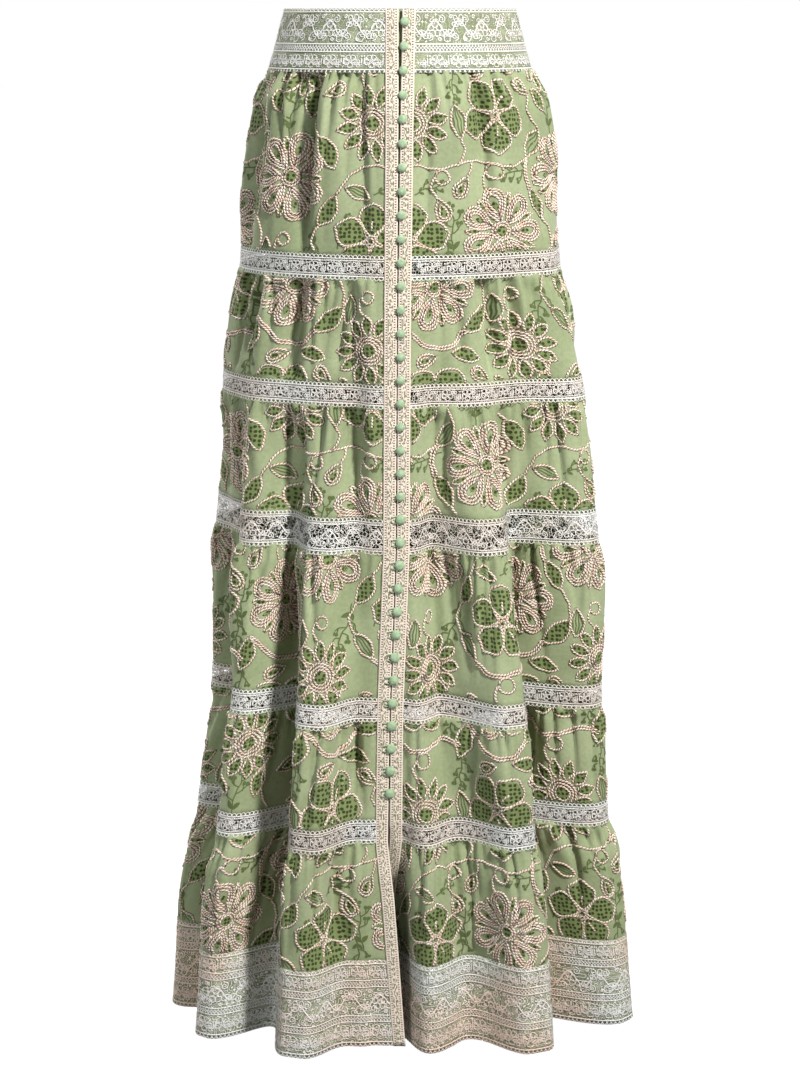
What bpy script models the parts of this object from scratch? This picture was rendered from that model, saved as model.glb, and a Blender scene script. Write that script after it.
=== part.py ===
"""Maxi skirt of six gathered tiers set between bands of lace, buttoned down the front.

Metres, +Z up. The origin is the middle of the waist opening, on the level of the waistband's
upper seam. The front faces -Y, and +X is the right side of the skirt as it is looked at.
Each piece is a wall swept round the body from the left front edge, by the left side, the back
and the right side, to the right front edge. A drop is a depth below the origin, and a turn is
an angle round the body from the middle of the front, by the left side.
"""
import math
from collections import namedtuple

import bmesh
import bpy
import numpy as np
from mathutils import Matrix, Vector

# Driving sizes
LENGTH = 1.060
TOP_EDGE = 0.002
CLOTH_WALL = 0.0016
LACE_WALL = 0.0012
SEAM_GAP = 0.0003
LAY_GAP = 0.0004

# Half widths and depths of the body of the skirt, before its folds
Section = namedtuple("Section", "drop half_width front back")
SECTIONS = (
    Section(-0.002, 0.1185, 0.0885, 0.0855),
    Section(0.060, 0.1365, 0.0985, 0.0980),
    Section(0.090, 0.1500, 0.1060, 0.1100),
    Section(0.131, 0.1570, 0.1090, 0.1180),
    Section(0.194, 0.1640, 0.1120, 0.1240),
    Section(0.265, 0.1690, 0.1130, 0.1280),
    Section(0.310, 0.1790, 0.1150, 0.1340),
    Section(0.394, 0.1890, 0.1160, 0.1400),
    Section(0.542, 0.1860, 0.1190, 0.1450),
    Section(0.714, 0.1720, 0.1280, 0.1520),
    Section(0.841, 0.1820, 0.1360, 0.1580),
    Section(0.880, 0.1980, 0.1420, 0.1660),
    Section(1.060, 0.2240, 0.1520, 0.1800),
)

# Large folds: where the crest runs in degrees, the half widths in degrees of the fold and of
# its flat crest, how far it stands out and leans over, and the drops where it begins and is full
Fold = namedtuple("Fold", "name turn_top turn_hem spread flat out lean begins full")
FOLDS = (
    Fold("placket", 2, 2, 13, 5, 0.050, 0.000, 0.10, 0.95),
    Fold("left_inner", 24, 21, 15.0, 2, 0.092, 0.008, 0.34, 0.82),
    Fold("left_front", 60, 43, 14.5, 1, 0.090, 0.010, 0.30, 0.90),
    Fold("left_side", 150, 62, 16.0, 0, 0.058, 0.006, 0.35, 0.95),
    Fold("back_left_outer", 128, 91, 13.0, 0, 0.030, 0.004, 0.35, 1.00),
    Fold("back_left_side", 142, 122, 16.0, 1, 0.060, -0.012, 0.20, 0.95),
    Fold("back_left", 160, 153, 16.0, 0, 0.064, 0.012, 0.25, 0.95),
    Fold("back_middle", 184, 184, 16.0, 2, 0.058, 0.012, 0.30, 0.95),
    Fold("back_right", 206, 213, 16.0, 0, 0.064, -0.012, 0.25, 0.95),
    Fold("back_right_side", 226, 243, 16.0, 1, 0.060, 0.012, 0.20, 0.95),
    Fold("back_right_outer", 250, 272, 13.0, 0, 0.030, -0.004, 0.30, 1.00),
    Fold("right_side", 294, 308, 18.0, 1, 0.083, -0.018, 0.12, 0.80),
    Fold("right_front", 341, 334, 14.5, 2, 0.092, -0.020, 0.31, 0.78),
    Fold("right_inner", 350, 350, 9.5, 0, 0.056, -0.006, 0.50, 0.90),
)
# Crests move most of their way round in the upper half
DRIFT = 1.6

# Where the two front edges meet, as distances to the right of the middle
Opening = namedtuple("Opening", "drop left_edge right_edge")
OPENINGS = (
    Opening(-0.002, -0.0015, 0.0025),
    Opening(0.100, -0.0015, 0.0005),
    Opening(0.300, -0.0030, -0.0020),
    Opening(0.540, -0.0040, -0.0030),
    Opening(0.700, -0.0090, -0.0080),
    Opening(0.840, -0.0105, -0.0090),
    Opening(0.900, -0.0050, -0.0150),
    Opening(1.060, 0.0050, -0.0200),
)
# Below the last button the right edge goes behind the left one
TUCK_FROM = 0.800
TUCK_OVER = 0.200
TUCK_TURN = 11.0
TUCK_DEPTH = 0.050

# Pieces from the waist to the hem
Band = namedtuple("Band", "name top bottom cloth gathered")
BANDS = (
    Band("waistband", -TOP_EDGE, 0.060, "lace", False),
    Band("tier_1", 0.060, 0.239, "cotton", True),
    Band("lace_1", 0.239, 0.265, "lace", False),
    Band("tier_2", 0.265, 0.369, "cotton", True),
    Band("lace_2", 0.369, 0.394, "lace", False),
    Band("tier_3", 0.394, 0.505, "cotton", True),
    Band("lace_3", 0.505, 0.542, "lace", False),
    Band("tier_4", 0.542, 0.688, "cotton", True),
    Band("lace_4", 0.688, 0.714, "lace", False),
    Band("tier_5", 0.714, 0.815, "cotton", True),
    Band("lace_5", 0.815, 0.841, "lace", False),
    Band("tier_6", 0.841, 0.965, "cotton", True),
    Band("hem_border", 0.965, LENGTH, "lace", False),
)

# Gathers begin at their seam, stand out most a little below it, then die away. Each spans
# four columns of the wall, which are spaced nearly evenly at one drop
GATHERS = 24
GATHER_COLUMNS = 4
GATHER_DEPTH = 0.0036
GATHER_PEAK = 0.014
GATHER_END = 0.060
GATHER_LEFT = 0.20
GATHER_CLEAR = 0.030
COLUMNS_EVEN_AT = 0.760
# How far from the front edges the columns shift to fit the strips
COLUMN_SHIFT = 0.090

# Lace strips along the two front edges, the strip of cotton behind them, and the buttons
STRIP_WIDTH = 0.013
STRIP_WALL = 0.0009
UNDERLAP_REACH = 0.010
UNDERLAP_WALL = 0.0012
UNDERLAP_HEM = 0.004
UNDERLAP_GAP = 0.0010
BUTTONS = 34
BUTTON_FIRST = 0.0110
BUTTON_LAST = 0.7880
BUTTON_RADIUS = 0.0046
BUTTON_BASE = 0.0012
BUTTON_HEIGHT = 0.0038
BUTTON_SIDES = 8
BUTTON_GAP = 0.0005
ButtonPlace = namedtuple("ButtonPlace", "drop across")
BUTTON_PLACES = (
    ButtonPlace(0.011, 0.0046),
    ButtonPlace(0.060, 0.0030),
    ButtonPlace(0.250, 0.0008),
    ButtonPlace(0.540, 0.0000),
    ButtonPlace(0.600, -0.0030),
    ButtonPlace(0.700, -0.0080),
    ButtonPlace(0.788, -0.0108),
)

# Colour, roughness and metallic value of each material
Finish = namedtuple("Finish", "colour roughness metallic")
FINISHES = {
    "cotton": Finish((0.30, 0.38, 0.17, 1), 0.85, 0.0),
    "lace": Finish((0.62, 0.54, 0.44, 1), 0.80, 0.0),
    "button": Finish((0.33, 0.46, 0.30, 1), 0.70, 0.0),
}

DENSE = 2400


def clear_scene():
    for old in list(bpy.data.objects):
        bpy.data.objects.remove(old, do_unlink=True)


def ease(value):
    """Smooth step from 0 to 1."""
    value = np.clip(value, 0.0, 1.0)
    return value * value * (3 - 2 * value)


def section_at(drop):
    """Half width, front depth and back depth, by a monotone cubic through the sections."""
    table = np.array(SECTIONS)
    drops = table[:, 0]
    at = int(np.clip(np.searchsorted(drops, drop) - 1, 0, len(drops) - 2))
    span = np.diff(drops)
    sizes = []
    for column in (1, 2, 3):
        size = table[:, column]
        rate = np.diff(size) / span
        slope = np.zeros(len(drops))
        both = rate[:-1] * rate[1:] > 0
        slope[1:-1][both] = 2 * (rate[:-1] * rate[1:])[both] / (rate[:-1] + rate[1:])[both]
        slope[0] = rate[0]
        slope[-1] = rate[-1]
        t = (drop - drops[at]) / span[at]
        value = (2 * t**3 - 3 * t**2 + 1) * size[at] + (3 * t**2 - 2 * t**3) * size[at + 1]
        value += (t**3 - 2 * t**2 + t) * span[at] * slope[at] + (t**3 - t**2) * span[at] * slope[at + 1]
        sizes.append(value)
    return sizes


def plan_curve(drop):
    """Turns and close-set points of the outer face at one drop, left front edge to right."""
    half_width, front, back = section_at(drop)
    edges = np.array(OPENINGS)
    left = np.interp(drop, edges[:, 0], edges[:, 1])
    right = np.interp(drop, edges[:, 0], edges[:, 2])
    first = -math.degrees(math.asin(left / half_width))
    last = 360 - math.degrees(math.asin(right / half_width))
    turn = np.linspace(first, last, DENSE)
    angle = np.radians(turn)
    depth = np.where(np.cos(angle) > 0, front, back)
    place = np.stack([-half_width * np.sin(angle), -depth * np.cos(angle)], 1)
    along = np.stack([-half_width * np.cos(angle), depth * np.sin(angle)], 1)
    along /= np.linalg.norm(along, axis=1)[:, None]
    outward = np.stack([-along[:, 1], along[:, 0]], 1)
    out = np.zeros(DENSE)
    lean = np.zeros(DENSE)
    down = 1 - (1 - np.clip(drop / LENGTH, 0, 1)) ** DRIFT
    for fold in FOLDS:
        crest = fold.turn_top + (fold.turn_hem - fold.turn_top) * down
        away = (turn - crest + 180) % 360 - 180
        side = np.clip((np.abs(away) - fold.flat) / (fold.spread - fold.flat), 0, 1)
        bell = 0.5 + 0.5 * np.cos(np.pi * side)
        grown = ease((drop - fold.begins) / (fold.full - fold.begins))
        out += fold.out * grown * bell
        lean += fold.lean * grown * bell
    tuck = ease((drop - TUCK_FROM) / TUCK_OVER) * ease(1 - (last - turn) / TUCK_TURN)
    out -= TUCK_DEPTH * tuck
    return turn, place + outward * out[:, None] + along * lean[:, None]


class Level:
    """One level of the skirt's outer face, read by distance from the left front edge."""

    def __init__(self, drop):
        self.drop = drop
        self.turn, self.curve = plan_curve(drop)
        steps = np.linalg.norm(np.diff(self.curve, axis=0), axis=1)
        self.run = np.concatenate([[0], np.cumsum(steps)])
        self.girth = self.run[-1]
        along = np.gradient(self.curve, axis=0)
        along /= np.linalg.norm(along, axis=1)[:, None]
        self.outward = np.stack([-along[:, 1], along[:, 0]], 1)

    def read(self, distance):
        """Points and outward directions at distances from the left front edge."""
        place = [np.interp(distance, self.run, self.curve[:, k]) for k in (0, 1)]
        outward = [np.interp(distance, self.run, self.outward[:, k]) for k in (0, 1)]
        outward = np.stack(outward, -1)
        outward /= np.linalg.norm(outward, axis=-1)[..., None]
        return np.stack(place, -1), outward


def gather_wave(band, level, distance, steps):
    """How far the gathers push the wall out."""
    below = level.drop - band.top
    rise = ease(below / GATHER_PEAK)
    fall = GATHER_LEFT + (1 - GATHER_LEFT) * ease(1 - (below - GATHER_PEAK) / (GATHER_END - GATHER_PEAK))
    left_over = ease((band.bottom - level.drop) / GATHER_PEAK)
    near_edge = np.minimum(distance, level.girth - distance) - STRIP_WIDTH
    clear = ease(near_edge / GATHER_CLEAR)
    uneven = 0.72 + 0.28 * np.sin(2 * np.pi * 5 * steps + 9 * band.top)
    depth = GATHER_DEPTH * rise * fall * left_over * clear * uneven
    return depth * np.cos(2 * np.pi * GATHERS * steps)


def column_turns():
    """Shares and turns of the columns between the two strips, unevenly spaced as gathers are."""
    level = Level(COLUMNS_EVEN_AT)
    steps = np.linspace(0, 1, GATHERS * GATHER_COLUMNS + 1)
    uneven = steps + 0.006 * np.sin(2 * np.pi * 4 * steps) + 0.003 * np.sin(2 * np.pi * 9 * steps)
    distance = STRIP_WIDTH + uneven * (level.girth - 2 * STRIP_WIDTH)
    return steps, np.interp(distance, level.run, level.turn)


def columns_at(level, turns):
    """Distances of the columns at a level: each front edge has one as wide as its lace strip."""
    distance = np.interp(turns, level.turn, level.run)
    first = STRIP_WIDTH - distance[0]
    last = level.girth - STRIP_WIDTH - distance[-1]
    near_first = ease(1 - (distance - distance[0]) / COLUMN_SHIFT)
    near_last = ease(1 - (distance[-1] - distance) / COLUMN_SHIFT)
    distance = distance + first * near_first + last * near_last
    return np.concatenate([[0], distance, [level.girth]])


def levels_of(band):
    """Drops of a ring's rows, closest below the gathered seam."""
    top = band.top + (SEAM_GAP / 2 if band.top > 0 else 0)
    bottom = band.bottom - (SEAM_GAP / 2 if band.bottom < LENGTH else 0)
    if band.gathered:
        return [top, band.top + GATHER_PEAK, band.top + GATHER_END, bottom]
    return [top, bottom]


def wall_object(name, outer, inner, finish):
    """Closed wall between two grids of points, each a list of rows going down."""
    rows = len(outer)
    across = len(outer[0])
    mesh_work = bmesh.new()
    skin = [[mesh_work.verts.new(point) for point in row] for row in outer]
    back = [[mesh_work.verts.new(point) for point in row] for row in inner]
    for r in range(rows - 1):
        for c in range(across - 1):
            mesh_work.faces.new((skin[r][c], skin[r][c + 1], skin[r + 1][c + 1], skin[r + 1][c]))
            mesh_work.faces.new((back[r][c], back[r + 1][c], back[r + 1][c + 1], back[r][c + 1]))
    for c in range(across - 1):
        mesh_work.faces.new((skin[0][c], back[0][c], back[0][c + 1], skin[0][c + 1]))
        mesh_work.faces.new((skin[-1][c], skin[-1][c + 1], back[-1][c + 1], back[-1][c]))
    for r in range(rows - 1):
        mesh_work.faces.new((skin[r][0], skin[r + 1][0], back[r + 1][0], back[r][0]))
        mesh_work.faces.new((skin[r][-1], back[r][-1], back[r + 1][-1], skin[r + 1][-1]))
    return finished(name, mesh_work, finish)


def finished(name, mesh_work, finish):
    """Object of a finished mesh, smooth but for its hard edges, with its own material."""
    mesh = bpy.data.meshes.new(name)
    mesh_work.to_mesh(mesh)
    mesh_work.free()
    mesh.shade_smooth()
    mesh.set_sharp_from_angle(angle=math.radians(50))
    piece = bpy.data.objects.new(name, mesh)
    bpy.context.scene.collection.objects.link(piece)
    material = bpy.data.materials.new(name)
    material.use_nodes = True
    shader = material.node_tree.nodes["Principled BSDF"]
    shader.inputs["Base Color"].default_value = finish.colour
    shader.inputs["Roughness"].default_value = finish.roughness
    shader.inputs["Metallic"].default_value = finish.metallic
    mesh.materials.append(material)
    return piece


def lifted(place, outward, height, drop):
    """Row of points moved outwards in plan by a height, at one drop."""
    moved = place + outward * np.asarray(height).reshape(-1, 1)
    return [Vector((x, y, -drop)) for x, y in moved]


def make_band(band, steps, turns):
    """Ring of one band: waistband, gathered tier, lace insertion or hem border."""
    wall = LACE_WALL if band.cloth == "lace" else CLOTH_WALL
    steps = np.concatenate([[0], steps, [1]])
    outer = []
    inner = []
    for drop in levels_of(band):
        level = Level(drop)
        distance = columns_at(level, turns)
        place, outward = level.read(distance)
        wave = gather_wave(band, level, distance, steps) if band.gathered else np.zeros(len(distance))
        outer.append(lifted(place, outward, wave, drop))
        inner.append(lifted(place, outward, wave - wall, drop))
    wall_object(band.name, outer, inner, FINISHES[band.cloth])


def front_drops(top, bottom):
    """Every row of the bands between two drops, so that strips bend where the bands do."""
    drops = {top, bottom}
    for band in BANDS:
        for drop in levels_of(band):
            nearest = round(drop, 3)
            if top < nearest < bottom:
                drops.add(nearest)
    return sorted(drops)


def make_placket(side):
    """Lace strip that lies along one front edge."""
    outer = []
    inner = []
    for drop in front_drops(-TOP_EDGE, LENGTH):
        level = Level(drop)
        distance = np.array([0, STRIP_WIDTH])
        if side == "right":
            distance = level.girth - distance[::-1]
        place, outward = level.read(distance)
        outer.append(lifted(place, outward, [LAY_GAP + STRIP_WALL] * 2, drop))
        inner.append(lifted(place, outward, [LAY_GAP] * 2, drop))
    wall_object("placket_" + side, outer, inner, FINISHES["lace"])


def make_underlap():
    """Cotton strip behind the right front edge, reaching past it behind the left one."""
    outer = []
    inner = []
    for drop in front_drops(0.0, LENGTH - UNDERLAP_HEM):
        level = Level(drop)
        place, outward = level.read(np.array([level.girth - STRIP_WIDTH, level.girth]))
        along = np.array([-outward[1][1], outward[1][0]]) * -1
        reach = place[1] + along * UNDERLAP_REACH - outward[1] * UNDERLAP_REACH * 0.06
        under, under_outward = level.read(np.array([UNDERLAP_REACH]))
        crossed = ease((drop - TUCK_FROM) / 0.05)
        reach = under[0] * (1 - crossed) + reach * crossed
        reach_outward = under_outward[0] * (1 - crossed) + outward[1] * crossed
        place = np.vstack([place, reach])
        outward = np.vstack([outward, reach_outward])
        depth = -np.array([CLOTH_WALL + UNDERLAP_GAP] * 3)
        outer.append(lifted(place, outward, depth, drop))
        inner.append(lifted(place, outward, depth - UNDERLAP_WALL, drop))
    wall_object("underlap", outer, inner, FINISHES["cotton"])


def strip_row(drop):
    """Right front edge and the strip's other edge, on the outer face at one drop."""
    level = Level(drop)
    place, outward = level.read(level.girth - np.array([0, STRIP_WIDTH]))
    return [Vector((x, y, -drop)) for x, y in place]


def button_frame(drop):
    """Place of a button, square to the flat of the right strip that it sits on."""
    rows = front_drops(-TOP_EDGE, LENGTH)
    below = next(k for k, row in enumerate(rows) if row > drop)
    above_edge, above_far = strip_row(rows[below - 1])
    below_edge, below_far = strip_row(rows[below])
    share = (drop - rows[below - 1]) / (rows[below] - rows[below - 1])
    edge = above_edge.lerp(below_edge, share)
    far = above_far.lerp(below_far, share)
    places = np.array(BUTTON_PLACES)
    across = np.interp(drop, places[:, 0], places[:, 1])
    centre = edge.lerp(far, (across - edge.x) / (far.x - edge.x))
    sideways = (far - edge).normalized()
    normal = (below_edge - above_edge).cross(sideways).normalized()
    downward = sideways.cross(normal).normalized()
    frame = Matrix((sideways, -downward, normal)).transposed().to_4x4()
    frame.translation = centre + normal * (LAY_GAP + STRIP_WALL + BUTTON_GAP)
    return frame


def make_button(number, drop):
    """Domed button with a flat back."""
    mesh_work = bmesh.new()
    rings = []
    levels = ((0.0, 0.88), (BUTTON_BASE, 1.0), (BUTTON_HEIGHT * 0.78, 0.68))
    for height, share in levels:
        ring = []
        for k in range(BUTTON_SIDES):
            angle = 2 * math.pi * k / BUTTON_SIDES
            radius = BUTTON_RADIUS * share
            ring.append(mesh_work.verts.new((radius * math.cos(angle), radius * math.sin(angle), height)))
        rings.append(ring)
    crown = mesh_work.verts.new((0, 0, BUTTON_HEIGHT))
    mesh_work.faces.new(rings[0][::-1])
    for low, high in zip(rings, rings[1:]):
        for k in range(BUTTON_SIDES):
            after = (k + 1) % BUTTON_SIDES
            mesh_work.faces.new((low[k], low[after], high[after], high[k]))
    for k in range(BUTTON_SIDES):
        mesh_work.faces.new((rings[-1][k], rings[-1][(k + 1) % BUTTON_SIDES], crown))
    button = finished(f"button_{number:02d}", mesh_work, FINISHES["button"])
    button.matrix_world = button_frame(drop)


def main():
    clear_scene()
    steps, turns = column_turns()
    for band in BANDS:
        make_band(band, steps, turns)
    make_placket("left")
    make_placket("right")
    make_underlap()
    for number in range(BUTTONS):
        drop = BUTTON_FIRST + (BUTTON_LAST - BUTTON_FIRST) * number / (BUTTONS - 1)
        make_button(number + 1, drop)


main()
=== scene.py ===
"""Looks of the maxi skirt: gathered cotton tiers with corded embroidery, lace bands, buttons.

Metres, +Z up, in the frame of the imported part. The front faces -Y. A drop is a depth below the
waist, a turn is an angle in degrees round the body from the middle of the front by the left side,
and a place on the cloth is a pair: metres along it from the left front edge, and its drop.
"""

import itertools
import math
from collections import namedtuple

import bpy
import numpy as np
from mathutils import Matrix, Vector


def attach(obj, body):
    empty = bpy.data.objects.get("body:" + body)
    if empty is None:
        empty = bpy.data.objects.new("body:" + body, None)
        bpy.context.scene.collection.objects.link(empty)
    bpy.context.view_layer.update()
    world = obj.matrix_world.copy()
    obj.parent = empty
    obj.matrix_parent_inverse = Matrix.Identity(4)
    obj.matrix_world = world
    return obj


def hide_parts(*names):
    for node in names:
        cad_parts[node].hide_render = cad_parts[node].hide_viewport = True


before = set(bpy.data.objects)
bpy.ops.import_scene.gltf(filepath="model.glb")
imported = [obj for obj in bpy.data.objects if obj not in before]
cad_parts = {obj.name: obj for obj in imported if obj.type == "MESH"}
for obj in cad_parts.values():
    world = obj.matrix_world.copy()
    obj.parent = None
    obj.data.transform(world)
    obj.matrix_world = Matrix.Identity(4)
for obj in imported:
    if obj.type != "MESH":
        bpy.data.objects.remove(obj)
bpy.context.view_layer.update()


def table(columns, *rows):
    """Rows of a table with their columns named."""
    Row = namedtuple("Row", columns)
    return [Row(*row) for row in rows]


# Sizes of the skirt's solids
LENGTH = 1.060
TOP_EDGE = 0.002
CLOTH_WALL = 0.0016
STRIP_WIDTH = 0.013
STRIP_WALL = 0.0009
UNDERLAP_REACH = 0.010
UNDERLAP_WALL = 0.0012
UNDERLAP_HEM = 0.004
UNDERLAP_GAP = 0.0010
BUTTON_HEIGHT = 0.0038
BUTTON_RADIUS = 0.0046

SECTIONS = table(
    "drop half_width front back",
    (-0.002, 0.1185, 0.0885, 0.0855),
    (0.060, 0.1365, 0.0985, 0.0980),
    (0.090, 0.1500, 0.1060, 0.1100),
    (0.131, 0.1570, 0.1090, 0.1180),
    (0.194, 0.1640, 0.1120, 0.1240),
    (0.265, 0.1690, 0.1130, 0.1280),
    (0.310, 0.1790, 0.1150, 0.1340),
    (0.394, 0.1890, 0.1160, 0.1400),
    (0.542, 0.1860, 0.1190, 0.1450),
    (0.714, 0.1720, 0.1280, 0.1520),
    (0.841, 0.1820, 0.1360, 0.1580),
    (0.880, 0.1980, 0.1420, 0.1660),
    (1.060, 0.2240, 0.1520, 0.1800),
)
FOLDS = table(
    "name turn_top turn_hem spread flat out lean begins full",
    ("placket", 2, 2, 13, 5, 0.050, 0.000, 0.10, 0.95),
    ("left_inner", 24, 21, 15.0, 2, 0.092, 0.008, 0.34, 0.82),
    ("left_front", 60, 43, 14.5, 1, 0.090, 0.010, 0.30, 0.90),
    ("left_side", 150, 62, 16.0, 0, 0.058, 0.006, 0.35, 0.95),
    ("back_left_outer", 128, 91, 13.0, 0, 0.030, 0.004, 0.35, 1.00),
    ("back_left_side", 142, 122, 16.0, 1, 0.060, -0.012, 0.20, 0.95),
    ("back_left", 160, 153, 16.0, 0, 0.064, 0.012, 0.25, 0.95),
    ("back_middle", 184, 184, 16.0, 2, 0.058, 0.012, 0.30, 0.95),
    ("back_right", 206, 213, 16.0, 0, 0.064, -0.012, 0.25, 0.95),
    ("back_right_side", 226, 243, 16.0, 1, 0.060, 0.012, 0.20, 0.95),
    ("back_right_outer", 250, 272, 13.0, 0, 0.030, -0.004, 0.30, 1.00),
    ("right_side", 294, 308, 18.0, 1, 0.083, -0.018, 0.12, 0.80),
    ("right_front", 341, 334, 14.5, 2, 0.092, -0.020, 0.31, 0.78),
    ("right_inner", 350, 350, 9.5, 0, 0.056, -0.006, 0.50, 0.90),
)
DRIFT = 1.6
OPENINGS = table(
    "drop left_edge right_edge",
    (-0.002, -0.0015, 0.0025),
    (0.100, -0.0015, 0.0005),
    (0.300, -0.0030, -0.0020),
    (0.540, -0.0040, -0.0030),
    (0.700, -0.0090, -0.0080),
    (0.840, -0.0105, -0.0090),
    (0.900, -0.0050, -0.0150),
    (1.060, 0.0050, -0.0200),
)
TUCK_FROM = 0.800
TUCK_OVER = 0.200
TUCK_TURN = 11.0
TUCK_DEPTH = 0.050
GATHERS = 24
GATHER_COLUMNS = 4
GATHER_DEPTH = 0.0036
GATHER_PEAK = 0.014
GATHER_END = 0.060
GATHER_LEFT = 0.20
GATHER_CLEAR = 0.030
GATHER_MEAN = 0.72
GATHER_SWING = 0.28
GATHER_SWINGS = 5
GATHER_SWING_SHIFT = 9
COLUMN_WAVES = ((0.006, 4), (0.003, 9))
COLUMNS_EVEN_AT = 0.760
COLUMN_SHIFT = 0.090

BANDS = table(
    "name top bottom cloth",
    ("waistband", -TOP_EDGE, 0.060, "backed"),
    ("tier_1", 0.060, 0.239, "cotton"),
    ("lace_1", 0.239, 0.265, "open"),
    ("tier_2", 0.265, 0.369, "cotton"),
    ("lace_2", 0.369, 0.394, "open"),
    ("tier_3", 0.394, 0.505, "cotton"),
    ("lace_3", 0.505, 0.542, "open"),
    ("tier_4", 0.542, 0.688, "cotton"),
    ("lace_4", 0.688, 0.714, "open"),
    ("tier_5", 0.714, 0.815, "cotton"),
    ("lace_5", 0.815, 0.841, "open"),
    ("tier_6", 0.841, 0.965, "cotton"),
    ("hem_border", 0.965, LENGTH, "backed"),
)

# Grids of the cloth: rows are closest below a gathered seam, and columns in front
SEAM_REACH = 0.0045
ROW_CLOSE = 0.0036
ROW_WIDE = 0.0080
CLOSE_TO = 0.024
FRONT_PITCH = 0.0024
BACK_PITCH = 0.0047
LACE_PITCH = 1.5
BACK_FROM = -0.30
CURVE_POINTS = 2400
STRIP_SHARES = np.array([0.0, 0.25, 0.5, 0.75])

# Walls of the cloth that shows, and how far its face stands off the solid's
COTTON_WALL = 0.0010
COTTON_LIFT = -0.0003
LACE_WALL = 0.0006
LACE_LIFT = 0.0004
WIDE_LACE_FROM = 0.030

# Small gathers sewn into each seam, drawn at random between these sizes
SEED = 40
GATHER_SPACING = (0.0065, 0.0145)
FINE_DEPTH = (0.0032, 0.0105)
FINE_HALF_WIDTH = (0.0026, 0.0058)
FINE_LENGTH = (0.022, 0.170)
FINE_EDGE = 1.3
FINE_PUFF = 0.9
FEW_LARGE = 1.2
STEEP_SIDE = 0.42
GENTLE_SIDE = 1.35
STEEP_LEFT = 0.7
FINE_LEAN = (-0.14, 0.14)
FINE_RISE = 0.006
FINE_CLEAR = 0.020

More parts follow.
